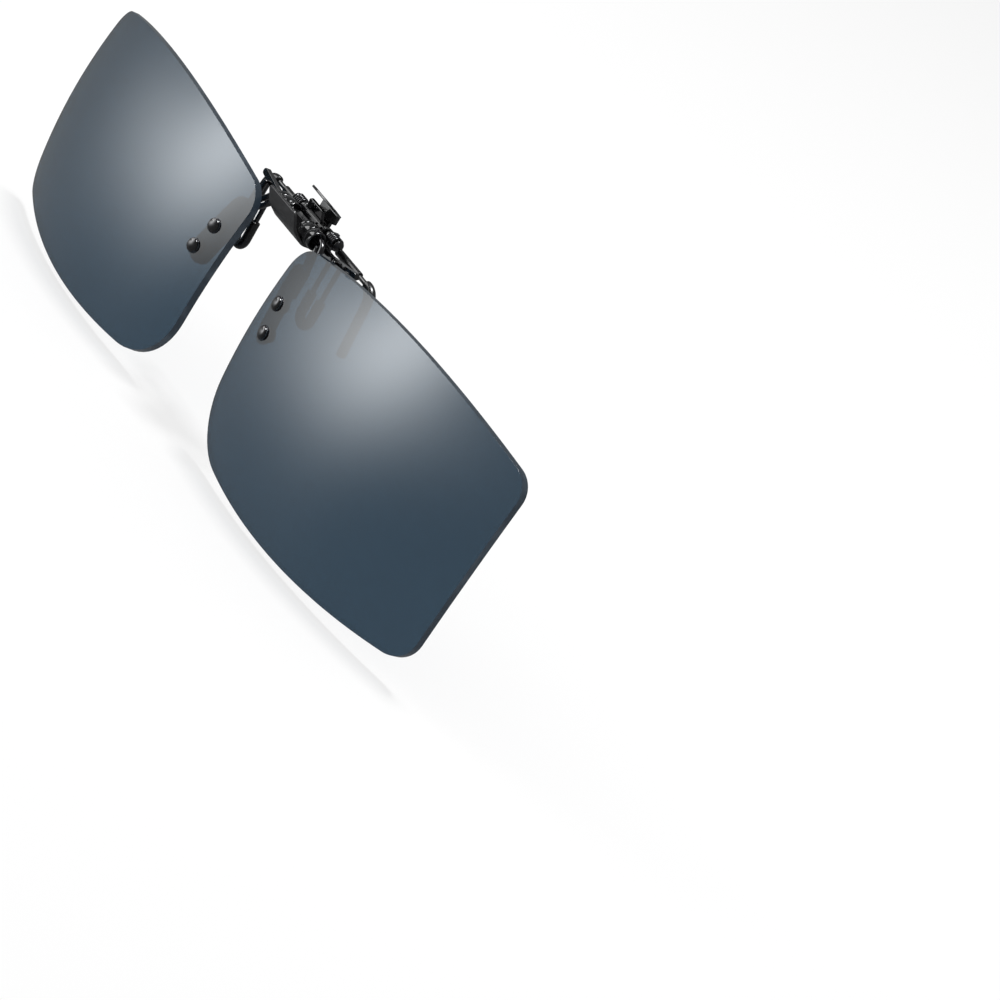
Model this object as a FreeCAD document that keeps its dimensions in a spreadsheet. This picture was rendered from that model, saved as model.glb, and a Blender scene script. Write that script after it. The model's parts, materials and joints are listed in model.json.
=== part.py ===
"""Clip-on flip lenses: two rimless tinted lenses on a spring clip that grips a pair of spectacles.

The lenses are riveted to two brackets, whose paired neck wires end in ferrules on one axle.
The axle turns in two knuckles on the front jaw, so the lenses flip up and down.
The rear jaw swings on a pin through the front jaw and is closed by two torsion springs.
Four sleeved prongs, two on each jaw, hold the spectacles between them.

Frame: millimetres, +Z up, the wearer looks along -Y, and the lenses' fronts face -Y.
The origin is the middle of the gap between the front and the rear prongs.
"""

import FreeCAD, Part
import math
import os

import Sketcher
from FreeCAD import Rotation, Vector

PARTS = "parts"
SIDES = {"right": 1, "left": -1}

# ---------------------------------------------------------------- driving dimensions, in mm and degrees
DIMENSIONS = {
    # lens outline, in the lens's own plane: across is away from the nose, up is up
    "lens_width": (59.4, "between the sharp top corners"),
    "lens_shift": (0.4, "middle of the top corners, towards the nose"),
    "lens_top_nose": (13.6, "height of the sharp top corner at the nose"),
    "lens_top_outer": (14.0, "height of the sharp top corner at the temple"),
    "lens_low_nose": (17.0, "depth of the sharp low corner at the nose"),
    "lens_low_outer": (16.2, "depth of the sharp low corner at the temple"),
    "lens_low_inset": (1.5, "how far the low corners stand in from the top ones"),
    "lens_top_bow": (119.0, "radius of the top edge"),
    "lens_low_bow": (166.0, "radius of the low edge"),
    "lens_nose_bow": (240.0, "radius of the nose edge"),
    "lens_outer_bow": (150.0, "radius of the temple edge"),
    "corner_top_nose": (4.6, "corner radius, high at the nose"),
    "corner_top_outer": (3.8, "corner radius, high at the temple"),
    "corner_low_outer": (5.0, "corner radius, low at the temple"),
    "corner_low_nose": (10.5, "corner radius, low at the nose"),
    "lens_curve": (92.5, "radius of the lens's front face"),
    "lens_thick": (1.1, "lens thickness"),
    # where a lens lies
    "lens_centre": (37.5, "lens centre from the middle of the clip"),
    "lens_ahead": (8.8, "lens centre in front of the grip"),
    "lens_below": (8.0, "lens centre below the grip"),
    "lens_wrap": (5.35, "turn of each lens round the face"),
    # lens fastening
    "rivet_upper_u": (-26.5, "upper rivet, across"),
    "rivet_upper_v": (5.7, "upper rivet, up"),
    "rivet_lower_u": (-25.3, "lower rivet, across"),
    "rivet_lower_v": (1.45, "lower rivet, up"),
    "rivet_head_rad": (1.1, "rivet head radius"),
    "rivet_head_high": (0.75, "rivet head height"),
    "rivet_shank_rad": (0.5, "rivet shank radius"),
    "bush_wall": (0.3, "wall of the bush in the lens hole"),
    "bush_flange": (0.15, "thickness of the bush's flange"),
    "bush_flange_rad": (1.25, "radius of the bush's flange"),
    "cap_rad": (1.0, "radius of the cap on the rivet's rear end"),
    "cap_thick": (0.5, "thickness of that cap"),
    "bond_gap": (0.02, "cement line behind a lens and under a cap"),
    "bracket_thick": (0.6, "bracket plate thickness"),
    "bracket_half": (1.95, "half the bracket plate's width"),
    "bracket_low_u": (-25.9, "middle of the bracket's low end, across"),
    "bracket_low_v": (1.5, "middle of the bracket's low end, up"),
    "bracket_top_u": (-27.6, "middle of the bracket's top end, across"),
    "bracket_top_v": (9.6, "middle of the bracket's top end, up"),
    "neck_wire_rad": (0.42, "neck wire radius"),
    "neck_wire_gap": (0.12, "gap between the two neck wires"),
    "neck_bend": (1.3, "bend radius of the neck's middle line"),
    "neck_reach": (1.65, "neck bend's corner beyond the ferrule's seat"),
    "neck_landing": (10.6, "height on the lens where the neck meets the bracket"),
    "neck_end": (7.3, "height on the lens where the neck wires end"),
    # flip hinge
    "hinge_ahead": (3.2, "flip axis in front of the grip"),
    "hinge_above": (6.35, "flip axis above the grip"),
    "knuckle_rad": (1.5, "knuckle radius"),
    "knuckle_long": (2.3, "knuckle length"),
    "knuckle_inner": (2.2, "knuckle's inner end from the middle"),
    "axle_rad": (0.8, "axle radius"),
    "axle_play": (0.05, "radial clearance of the axle"),
    "cam_half": (0.8, "half the square cam's side"),
    "cam_long": (3.8, "square cam's length"),
    "washer_thick": (0.3, "friction washer thickness"),
    "washer_play": (0.02, "gap on each side of a friction washer"),
    "ferrule_rad": (1.45, "ferrule radius"),
    "ferrule_floor": (0.45, "thickness of the ferrule's floor"),
    "ferrule_deep": (0.7, "depth of the ferrule's mouth"),
    "ferrule_wall": (0.35, "wall of the ferrule's mouth"),
    "leaf_thick": (0.25, "detent leaf thickness"),
    "leaf_wide": (3.4, "detent leaf width along the axle"),
    "leaf_high": (2.6, "detent leaf height"),
    # front cover: a sheet folded twice, seen from its end
    "cover_long": (8.3, "front cover length"),
    "cover_thick": (0.45, "front cover sheet"),
    "cover_top_ahead": (7.86, "top edge of the cover's face in front of the grip"),
    "cover_top_above": (8.55, "top edge of the cover's face above the grip"),
    "cover_fold_ahead": (6.3, "low edge of the cover's face in front of the grip"),
    "cover_fold_above": (6.0, "low edge of the cover's face above the grip"),
    "cover_heel_ahead": (3.9, "where the cover's lip levels out, in front of the grip"),
    # front jaw
    "jaw_sheet": (0.8, "front jaw sheet"),
    "jaw_half": (3.6, "half the front jaw's middle plate"),
    "jaw_foot": (4.3, "low edge of the front jaw's plate"),
    "jaw_top": (7.8, "top edge of the front jaw's plate"),
    "arm_reach": (14.6, "tip of a front arm from the middle"),
    "arm_root_mid": (5.45, "height of the arms' middle line at the root"),
    "arm_elbow": (8.0, "where an arm turns up, from the middle"),
    "arm_tip_mid": (6.6, "height of the arms' middle line at the tip"),
    "arm_root": (0.6, "half height of an arm at its root"),
    "arm_tip": (0.5, "half height of an arm at its tip"),
    "front_tab_half": (1.75, "half width of the front finger tab"),
    "front_tab_long": (1.9, "front finger tab length"),
    "front_tab_sheet": (0.5, "front finger tab sheet"),
    "front_tab_lean": (20.0, "forward lean of the front finger tab"),
    "ear_sheet": (0.7, "thickness of an ear"),
    "front_ear_inner": (2.9, "front ear's inner face from the middle"),
    "ear_play": (0.15, "gap between a front and a rear ear"),
    "ear_half": (0.85, "half height of an ear"),
    # rear jaw and its pin
    "pivot_ahead": (0.3, "jaw pivot in front of the grip"),
    "pivot_above": (7.1, "jaw pivot above the grip"),
    "pin_rad": (0.45, "jaw pin radius"),
    "pin_seat": (0.02, "radial clearance of the pin in the front ears"),
    "pin_play": (0.05, "radial clearance of the pin in the rear ears"),
    "pin_half": (6.75, "half the jaw pin's length between its heads"),
    "pin_head_rad": (0.85, "jaw pin head radius"),
    "pin_head_thick": (0.45, "jaw pin head thickness"),
    "rear_near": (0.24, "rear jaw's front face behind the grip"),
    "rear_sheet": (0.7, "rear jaw sheet"),
    "bar_foot": (4.9, "low edge of the rear jaw's bar"),
    "bar_top": (6.3, "top edge of the rear jaw's bar"),
    "stem_half": (0.9, "half width of the rear tab's stem"),
    "stem_top": (8.1, "where the stem widens into the rear tab"),
    "rear_tab_root": (1.5, "half width of the rear tab at its fold"),
    "rear_tab_fold": (9.75, "height of the rear tab's fold"),
    "rear_tab_tip": (3.75, "half width of the rear tab at its tip"),
    "rear_tab_long": (2.4, "rear tab from its fold to its tip"),
    "rear_tab_sheet": (0.35, "rear tab sheet"),
    "rear_tab_lean": (66.0, "forward lean of the rear tab beyond its fold"),
    # springs
    "spring_wire": (0.18, "spring wire radius"),
    "spring_mean": (0.84, "spring coil's mean radius"),
    "spring_turns": (4.0, "turns in each coil"),
    "spring_pitch": (0.42, "coil pitch"),
    "spring_near": (4.6, "coil's inner end from the middle"),
    # prongs
    "prong_wire": (0.36, "prong wire radius"),
    "rear_wire_start": (1.6, "rear wire's inner end from the middle"),
    "rear_wire_above": (5.95, "rear wires above the grip"),
    "rear_reach": (17.0, "rear prong's bend from the middle"),
    "rear_bend": (2.2, "rear prong's bend radius"),
    "rear_tip_out": (17.6, "rear prong's tip from the middle"),
    "rear_tip_behind": (1.9, "rear prong's tip behind the grip"),
    "prong_drop": (3.6, "prong tips below the grip"),
    "rod_sleeve_rad": (0.6, "radius of the sleeve on a rear rod"),
    "rod_sleeve_near": (5.4, "rod sleeve's inner end"),
    "rod_sleeve_far": (12.2, "rod sleeve's outer end"),
    "tip_sleeve_rad": (0.72, "radius of the sleeves on the prong legs"),
    "tip_sleeve_end": (0.5, "sleeve beyond the wire's end"),
    "front_leg_near": (10.0, "front prong's inner leg from the middle"),
    "front_leg_far": (12.7, "front prong's outer leg from the middle"),
    "front_leg_top": (6.1, "front prong wires' top ends"),
    "front_leg_knee": (4.2, "height where the front legs lean back"),
    "front_leg_low": (-2.4, "height where the front legs turn round"),
    "front_leg_ahead": (1.75, "front prong's low turn in front of the grip"),
    "front_knee_bend": (2.4, "bend radius at the front legs' knee"),
    "front_sleeve_top": (0.6, "height where the front sleeve starts"),
}

doc = FreeCAD.newDocument("clip_on_flip_lenses")
sheet = doc.addObject("Spreadsheet::Sheet", "Dims")
for row, (alias, (value, meaning)) in enumerate(DIMENSIONS.items(), start=1):
    sheet.set(f"A{row}", meaning)
    sheet.set(f"B{row}", str(value))
    sheet.setAlias(f"B{row}", alias)
doc.recompute()

finished = []  # every sub-part, in the order it is made


# ---------------------------------------------------------------- helpers
def size(expression):
    """The value in mm of an expression on the sheet's cells."""
    found = sheet.evalExpression(expression)
    return float(getattr(found, "Value", found))


def cell(alias):
    """The sheet's cell as other objects' expressions name it."""
    return f"Dims.{alias}"


def named(expression):
    """Puts Dims. before every alias of an expression."""
    words, word = [], ""
    for letter in expression + " ":
        if letter.isalnum() or letter == "_":
            word += letter
            continue
        words.append(cell(word) if word in DIMENSIONS else word)
        words.append(letter)
        word = ""
    return "".join(words).strip()


def bind(thing, **expressions):
    """Binds properties of an object to expressions; two underscores stand for a dot."""
    for prop, expression in expressions.items():
        thing.setExpression(prop.replace("__", "."), named(expression))
    return thing


def place(thing, x="0", y="0", z="0", angle=None, axis=(0, 0, 1)):
    """Binds an object's place, and its turn about one axis, to the sheet."""
    turn = 0 if angle is None else size(angle)
    thing.Placement = FreeCAD.Placement(Vector(), Rotation(Vector(*axis), turn))
    bind(thing, Placement__Base__x=x, Placement__Base__y=y, Placement__Base__z=z)
    if angle is not None:
        bind(thing, Placement__Rotation__Angle=angle)
    return thing


def box(name, x, y, z):
    """A box between bound limits: x, y and z are pairs of expressions."""
    made = doc.addObject("Part::Box", name)
    for prop, (low, high) in zip(("Length", "Width", "Height"), (x, y, z)):
        bind(made, **{prop: f"({high}) - ({low})"})
    return place(made, x[0], y[0], z[0])


def rod(name, radius, start, end, y, z):
    """A cylinder along X between bound ends."""
    made = doc.addObject("Part::Cylinder", name)
    bind(made, Radius=radius, Height=f"({end}) - ({start})")
    made.Placement = FreeCAD.Placement(Vector(), Rotation(Vector(0, 1, 0), 90))
    bind(made, Placement__Base__x=start, Placement__Base__y=y, Placement__Base__z=z)
    return made


def cut(name, base, tool):
    made = doc.addObject("Part::Cut", name)
    made.Base, made.Tool = base, tool
    return made


def fuse(name, *pieces):
    made = doc.addObject("Part::MultiFuse", name)
    made.Shapes = list(pieces)
    made.Refine = True
    return made


def common(name, *pieces):
    made = doc.addObject("Part::MultiCommon", name)
    made.Shapes = list(pieces)
    return made


def mirrored(name, source):
    """The same piece on the other side of the middle plane."""
    made = doc.addObject("Part::Mirroring", name)
    made.Source, made.Normal, made.Base = source, Vector(1, 0, 0), Vector()
    return made


def label(thing, name):
    """Names a finished sub-part, which also names its file."""
    thing.Label = name
    finished.append(thing)
    return thing


def pair(thing, name, group="{side}_" + "{name}"):
    """Finishes a right-hand piece and its mirror image."""
    label(thing, group.format(side="right", name=name))
    label(mirrored("left_" + name + "_mirror", thing), group.format(side="left", name=name))


def plane_of(body, role):
    return next(f for f in body.Origin.OriginFeatures if f.Role == role)


def outline(body, role, corners, name="outline"):
    """A closed sketch through bound corners. A corner is (across, up) or (across, up, bow radius of the edge
    that leaves it), all expressions; a bow always swells outwards, with corners given anticlockwise."""
    sketch = body.newObject("Sketcher::SketchObject", name)
    sketch.AttachmentSupport = [(plane_of(body, role), "")]
    sketch.MapMode = "FlatFace"
    points = [Vector(size(c[0]), size(c[1]), 0) for c in corners]
    for i, corner in enumerate(corners):
        start, end = points[i], points[(i + 1) % len(points)]
        if len(corner) < 3:
            sketch.addGeometry(Part.LineSegment(start, end), False)
            continue
        radius, chord = size(corner[2]), end - start
        outward = Vector(chord.y, -chord.x, 0).normalize()
        rise = radius - math.sqrt(radius**2 - (chord.Length / 2) ** 2)
        middle = (start + end) / 2 + outward * rise
        sketch.addGeometry(Part.Arc(start, middle, end), False)
    for i, corner in enumerate(corners):
        following = (i + 1) % len(corners)
        ends = end_point(sketch, i), start_point(sketch, following)
        sketch.addConstraint(Sketcher.Constraint("Coincident", i, ends[0], following, ends[1]))
    for i, corner in enumerate(corners):
        fix(sketch, "DistanceX", i, corner[0], points[i].x)
        fix(sketch, "DistanceY", i, corner[1], points[i].y)
        if len(corner) > 2:
            number = sketch.addConstraint(Sketcher.Constraint("Radius", i, size(corner[2])))
            sketch.setExpression(f"Constraints[{number}]", named(corner[2]))
    return sketch


def start_point(sketch, edge):
    """1 or 2: which end of a sketch edge comes first; arcs run anticlockwise, as the corners do."""
    return 1


def end_point(sketch, edge):
    return 2


def fix(sketch, kind, edge, expression, value):
    """Holds an edge's first point at a bound distance from the origin."""
    number = sketch.addConstraint(Sketcher.Constraint(kind, -1, 1, edge, 1, value))
    sketch.setExpression(f"Constraints[{number}]", named(expression))


def slab(name, role, corners, thickness, y="0"):
    """A plate of a bound outline, as thick both ways from its own plane; y puts that plane in place."""
    body = doc.addObject("PartDesign::Body", name)
    pad = body.newObject("PartDesign::Pad", "pad")
    pad.Profile = outline(body, role, corners)
    pad.Midplane = True
    bind(pad, Length=thickness)
    place(body, "0", y, "0")
    return body


def round_edges(body, radius, chosen):
    """Fillets the body's edges that chosen(edge) picks."""
    doc.recompute()
    tip = body.Tip
    names = [f"Edge{i}" for i, e in enumerate(tip.Shape.Edges, start=1) if chosen(e)]
    fillet = body.newObject("PartDesign::Fillet", "rounding")
    fillet.Base = (tip, names)
    bind(fillet, Radius=radius)
    return body


def lathe(name, profile):
    """A turned piece about the Y axis; the profile is (radius, along Y) corners, all expressions."""
    body = doc.addObject("PartDesign::Body", name)
    turn = body.newObject("PartDesign::Revolution", "turn")
    turn.Profile = outline(body, "XY_Plane", profile)
    turn.ReferenceAxis = (turn.Profile[0], ["V_Axis"])
    turn.Angle = 360
    return body


def bent_path(points, radii):
    """A wire of straight runs joined by tangent arcs; radii has one radius for each inner point."""
    edges, last = [], points[0]
    for before, corner, after, radius in zip(points, points[1:], points[2:], radii):
        come, go = (corner - before).normalize(), (after - corner).normalize()
        turn = come.getAngle(go)
        reach = radius * math.tan(turn / 2)
        start, end = corner - come * reach, corner + go * reach
        inward = (go - come).normalize()
        middle = corner + inward * (radius / math.cos(turn / 2) - radius)
        edges.append(Part.LineSegment(last, start).toShape())
        edges.append(Part.Arc(start, middle, end).toShape())
        last = end
    edges.append(Part.LineSegment(last, points[-1]).toShape())
    return Part.Wire(edges)


def swept(path, radius):
    """A round bar along a path of lines and arcs."""
    first = path.Edges[0]
    start = first.valueAt(first.FirstParameter)
    ring = Part.Wire(Part.Circle(start, first.tangentAt(first.FirstParameter), radius).toShape())
    return path.makePipeShell([ring], True, False)


def feature(name, shape):
    """A piece whose shape is set with Part's own functions."""
    made = doc.addObject("Part::Feature", name)
    made.Shape = shape
    return made


def lens_point(across, up, depth):
    """A point at a depth behind the right lens's front face, above (across, up) in the lens's plane."""
    curve = size("lens_curve")
    centre = Vector(0, curve, 0)
    front = Vector(across, curve - math.sqrt(curve**2 - across**2 - up**2), up)
    local = front + (centre - front).normalize() * depth
    turned = Rotation(Vector(0, 0, 1), size("lens_wrap")).multVec(local)
    return turned + Vector(size("lens_centre"), -size("lens_ahead"), -size("lens_below"))


def lens_normal(across, up):
    """The direction out of the right lens's front face there."""
    return (lens_point(across, up, 0) - lens_point(across, up, 1)).normalize()


# ---------------------------------------------------------------- lenses, brackets and rivets
LENS_CORNERS = [  # anticlockwise, from low at the nose; each with the bow of the edge that follows
    ("lens_low_inset - lens_width / 2 - lens_shift", "-lens_low_nose", "lens_low_bow"),
    ("lens_width / 2 - lens_low_inset - lens_shift", "-lens_low_outer", "lens_outer_bow"),
    ("lens_width / 2 - lens_shift", "lens_top_outer", "lens_top_bow"),
    ("-lens_width / 2 - lens_shift", "lens_top_nose", "lens_nose_bow"),
]
RIVETS = (("rivet_upper_u", "rivet_upper_v"), ("rivet_lower_u", "rivet_lower_v"))


def in_lens_frame(thing):
    """Puts a piece modelled in the right lens's own frame where that lens lies."""
    return place(thing, "lens_centre", "-lens_ahead", "-lens_below", "lens_wrap")


def curved_layer(name, blank, outer, inner):
    """The part of a blank between two spheres about the lens's centre of curvature."""
    spheres = []
    for which, radius in (("outer", outer), ("inner", inner)):
        ball = doc.addObject("Part::Sphere", f"{name}_{which}")
        bind(ball, Radius=radius, Placement__Base__y="lens_curve")
        spheres.append(ball)
    return common(f"{name}_layer", blank, cut(f"{name}_shell", *spheres))


def drilled(name, piece, radius):
    """The piece with both rivet holes, square to the lens's face, in the right lens's own frame."""
    for number, (across, up) in enumerate(RIVETS):
        drill = doc.addObject("Part::Cylinder", f"{name}_drill_{number}")
        u, v = size(across), size(up)
        bind(drill, Radius=radius, Height="4 * rivet_head_rad + lens_thick")
        normal = Rotation(Vector(0, 0, 1), -size("lens_wrap")).multVec(lens_normal(u, v))
        drill.Placement = FreeCAD.Placement(Vector(), Rotation(Vector(0, 0, 1), -normal))
        local = lens_point(u, v, -size("2 * rivet_head_rad")) - Vector(
            size("lens_centre"), -size("lens_ahead"), -size("lens_below")
        )
        drill.Placement.Base = Rotation(Vector(0, 0, 1), -size("lens_wrap")).multVec(local)
        piece = cut(f"{name}_drilled_{number}", piece, drill)
    return piece


def make_lenses():
    blank = slab("lens_blank", "XZ_Plane", LENS_CORNERS, "lens_width / 2")
    for radius, above, outward in (
        ("corner_low_nose", False, False),
        ("corner_low_outer", False, True),
        ("corner_top_nose", True, False),
        ("corner_top_outer", True, True),
    ):
        round_edges(blank, radius, lambda e: is_corner(e, above, outward))
    layer = curved_layer("lens", blank, "lens_curve", "lens_curve - lens_thick")
    pair(in_lens_frame(drilled("lens", layer, "rivet_shank_rad + bush_wall")), "lens")


def is_corner(edge, above, outward):
    """Whether an edge runs through the lens blank at that corner and is still sharp."""
    ends = [v.Point for v in edge.Vertexes]
    if len(ends) != 2 or ends[0].sub(ends[1]).Length < size("lens_width / 3"):
        return False
    if abs(ends[0].x - ends[1].x) + abs(ends[0].z - ends[1].z) > 1e-6:
        return False
    x, z = ends[0].x, ends[0].z
    sharp = [(size(c[0]), size(c[1])) for c in LENS_CORNERS]
    near = min(math.hypot(x - px, z - pz) for px, pz in sharp)
    return near < 1e-4 and (z > 0) == above and (x > 0) == outward


def make_brackets():
    low = Vector(size("bracket_low_u"), size("bracket_low_v"), 0)
    top = Vector(size("bracket_top_u"), size("bracket_top_v"), 0)
    body = doc.addObject("PartDesign::Body", "bracket_blank")
    sketch = body.newObject("Sketcher::SketchObject", "slot_outline")
    sketch.AttachmentSupport = [(plane_of(body, "XZ_Plane"), "")]
    sketch.MapMode = "FlatFace"
    half = size("bracket_half")
    along = (top - low).normalize()
    side = Vector(along.y, -along.x, 0)
    sketch.addGeometry(Part.LineSegment(low + side * half, top + side * half), False)
    sketch.addGeometry(Part.Arc(top + side * half, top + along * half, top - side * half), False)
    sketch.addGeometry(Part.LineSegment(top - side * half, low - side * half), False)
    sketch.addGeometry(Part.Arc(low - side * half, low - along * half, low + side * half), False)
    for first, second in ((0, 1), (1, 2), (2, 3), (3, 0)):
        sketch.addConstraint(Sketcher.Constraint("Tangent", first, 2, second, 1))
    for arc, across, up, at in (
        (3, "bracket_low_u", "bracket_low_v", low),
        (1, "bracket_top_u", "bracket_top_v", top),
    ):
        for kind, expression, value in (("DistanceX", across, at.x), ("DistanceY", up, at.y)):
            number = sketch.addConstraint(Sketcher.Constraint(kind, -1, 1, arc, 3, value))
            sketch.setExpression(f"Constraints[{number}]", named(expression))
    number = sketch.addConstraint(Sketcher.Constraint("Radius", 1, half))
    sketch.setExpression(f"Constraints[{number}]", named("bracket_half"))
    pad = body.newObject("PartDesign::Pad", "pad")
    pad.Profile, pad.Midplane = sketch, True
    bind(pad, Length="lens_width / 2")
    layer = curved_layer(
        "bracket", body, "lens_curve - lens_thick - bond_gap",
        "lens_curve - lens_thick - bond_gap - bracket_thick",
    )
    pair(in_lens_frame(drilled("bracket", layer, "rivet_shank_rad")), "lens_bracket")


def on_rivets(name, source, depth):
    """Both copies of a turned piece on the right lens's rivets. Its origin lies that far behind the lens's
    front face, and its rear end points along its +Y."""
    doc.recompute()
    copies = []
    for across, up in RIVETS:
        u, v = size(across), size(up)
        copy = source.Shape.copy()
        copy.Placement = FreeCAD.Placement(
            lens_point(u, v, depth), Rotation(Vector(0, -1, 0), lens_normal(u, v))
        )
        copies.append(copy)
    return feature(name, Part.makeCompound(copies))


def make_rivets():
    """Domed rivet, the bush that keeps it off the lens, and the cap pressed on its rear end."""
    through = "lens_thick + bracket_thick + 2 * bond_gap + cap_thick"
    rivet = lathe("rivet", [
        ("0", "-bush_flange - rivet_head_high"),
        ("rivet_head_rad * 0.62", "-bush_flange - rivet_head_high * 0.86"),
        ("rivet_head_rad * 0.92", "-bush_flange - rivet_head_high * 0.5"),
        ("rivet_head_rad", "-bush_flange"),
        ("rivet_shank_rad", "-bush_flange"),
        ("rivet_shank_rad", through),
        ("0", through),
    ])
    bush = lathe("bush", [
        ("rivet_shank_rad", "-bush_flange"),
        ("bush_flange_rad", "-bush_flange"),
        ("bush_flange_rad", "0"),
        ("rivet_shank_rad + bush_wall", "0"),
        ("rivet_shank_rad + bush_wall", "lens_thick"),
        ("rivet_shank_rad", "lens_thick"),
    ])
    cap = lathe("cap", [
        ("rivet_shank_rad", "0"),
        ("cap_rad", "0"),
        ("cap_rad", "cap_thick * 0.6"),
        ("cap_rad * 0.8", "cap_thick"),
        ("rivet_shank_rad", "cap_thick"),
    ])
    pair(on_rivets("right_rivets", rivet, 0), "lens_rivets")
    pair(on_rivets("right_bushes", bush, 0), "rivet_bushes")
    pair(on_rivets("right_caps", cap, size("lens_thick + bracket_thick + 2 * bond_gap")), "rivet_caps")


def make_neck_wires():
    """Two wires a side, side by side, from the ferrule's floor round a bend to the bracket's back."""
    radius = size("neck_wire_rad")
    offset = size("neck_wire_rad + neck_wire_gap / 2")
    behind = size("lens_thick + bracket_thick + 2 * bond_gap") + radius
    seat = size(FERRULE_SEAT)
    y, z = -size("hinge_ahead"), size("hinge_above")
    lean = (size("bracket_top_u") - size("bracket_low_u")) / (size("bracket_top_v") - size("bracket_low_v"))
    wires = []
    for side in (1, -1):
        shift = side * offset

        def landing(up):
            return lens_point(size("bracket_low_u") + lean * (up - size("bracket_low_v")) + shift, up, behind)

        points = [
            Vector(seat, y, z + shift),
            Vector(seat + size("neck_reach") + shift, y, z + shift),
            landing(size("neck_landing")),
            landing(size("neck_end")),
        ]
        path = bent_path(points, [size("neck_bend") + shift, size("neck_bend")])
        wires.append(swept(path, radius))
    pair(feature("right_neck", Part.makeCompound(wires)), "neck_wires")


# ---------------------------------------------------------------- flip hinge
KNUCKLE_END = "(knuckle_inner + knuckle_long)"
AXLE_END = f"({KNUCKLE_END} + washer_thick + 2 * washer_play)"
FERRULE_SEAT = f"({AXLE_END} + ferrule_floor)"
FERRULE_END = f"({FERRULE_SEAT} + ferrule_deep)"
HINGE = {"y": "-hinge_ahead", "z": "hinge_above"}


def tube(name, radius, bore, start, end, y, z):
    """A tube along X."""
    overlap = "0.5"
    core = rod(f"{name}_bore", bore, f"({start}) - {overlap}", f"({end}) + {overlap}", y, z)
    return cut(name, rod(f"{name}_bar", radius, start, end, y, z), core)


def make_hinge():
    bore = "axle_rad + axle_play"
    pair(tube("knuckle", "knuckle_rad", bore, "knuckle_inner", KNUCKLE_END, **HINGE), "hinge_knuckle")
    washer_start = f"{KNUCKLE_END} + washer_play"
    washer = tube(
        "washer", "ferrule_rad", bore, washer_start, f"{washer_start} + washer_thick", **HINGE
    )
    pair(washer, "friction_washer")
    cup = rod("ferrule_cup", "ferrule_rad", AXLE_END, FERRULE_END, **HINGE)
    mouth = rod("ferrule_mouth", "ferrule_rad - ferrule_wall", FERRULE_SEAT, f"{FERRULE_END} + 1", **HINGE)
    pair(cut("ferrule", cup, mouth), "neck_ferrule")
    shaft = rod("axle_shaft", "axle_rad", f"-{AXLE_END}", AXLE_END, **HINGE)
    cam = box(
        "axle_cam",
        ("-cam_long / 2", "cam_long / 2"),
        ("-hinge_ahead - cam_half", "-hinge_ahead + cam_half"),
        ("hinge_above - cam_half", "hinge_above + cam_half"),
    )
    label(fuse("axle", shaft, cam), "flip_axle")
    leaf_back = "-hinge_ahead + knuckle_rad"
    leaf = box(
        "leaf",
        ("-leaf_wide / 2", "leaf_wide / 2"),
        (f"{leaf_back} - leaf_thick", leaf_back),
        ("hinge_above - leaf_high / 2", "hinge_above + leaf_high / 2"),
    )
    label(leaf, "detent_leaf")


def make_cover():
    """A sheet folded twice: a face that leans forwards, a slope below it, and a lip under the knuckles."""
    thick = size("cover_thick")
    lip = size("hinge_above - knuckle_rad - cover_thick")
    outside = [
        Vector(-size("cover_top_ahead"), size("cover_top_above"), 0),
        Vector(-size("cover_fold_ahead"), size("cover_fold_above"), 0),
        Vector(-size("cover_heel_ahead"), lip, 0),
        Vector(size(JAW_FRONT), lip, 0),
    ]
    inside = mitred(outside, thick)
    corners = outside + inside[::-1]
    face = Part.Face(Part.makePolygon([Vector(0, c.x, c.y) for c in corners + corners[:1]]))
    long = size("cover_long")
    sheet_metal = face.extrude(Vector(long, 0, 0))
    sheet_metal.translate(Vector(-long / 2, 0, 0))
    label(feature("cover", sheet_metal), "front_cover")


def mitred(line, distance):
    """The open line moved to its left by a distance, with mitred corners."""
    ways = [(b - a).normalize() for a, b in zip(line, line[1:])]
    lefts = [Vector(-w.y, w.x, 0) for w in ways]
    moved = [line[0] + lefts[0] * distance]
    for corner, before, after in zip(line[1:], lefts, lefts[1:]):
        middle = (before + after).normalize()
        moved.append(corner + middle * (distance / middle.dot(before)))
    return moved + [line[-1] + lefts[-1] * distance]


# ---------------------------------------------------------------- jaws
JAW_FRONT = "(knuckle_rad - hinge_ahead)"
PIVOT = {"y": "-pivot_ahead", "z": "pivot_above"}
FRONT_EAR_OUTER = "(front_ear_inner + ear_sheet)"
REAR_EAR_INNER = f"({FRONT_EAR_OUTER} + ear_play)"
REAR_EAR_OUTER = f"({REAR_EAR_INNER} + ear_sheet)"


def ears(name, inner, outer, near, far, hole):
    """Two ears across the jaw pin, from y near to y far, rounded about the pin by their own height."""
    pieces = []
    for side, sign in SIDES.items():
        limits = (inner, outer) if sign > 0 else (f"-{outer}", f"-{inner}")
        ear = box(f"{name}_{side}", limits, (near, far), ("pivot_above - ear_half", "pivot_above + ear_half"))
        eye = rod(f"{name}_{side}_eye", "ear_half", *limits, **PIVOT)
        pieces += [ear, eye]
    drill = rod(f"{name}_drill", hole, f"-{outer} - 1", f"{outer} + 1", **PIVOT)
    return pieces, drill


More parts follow.
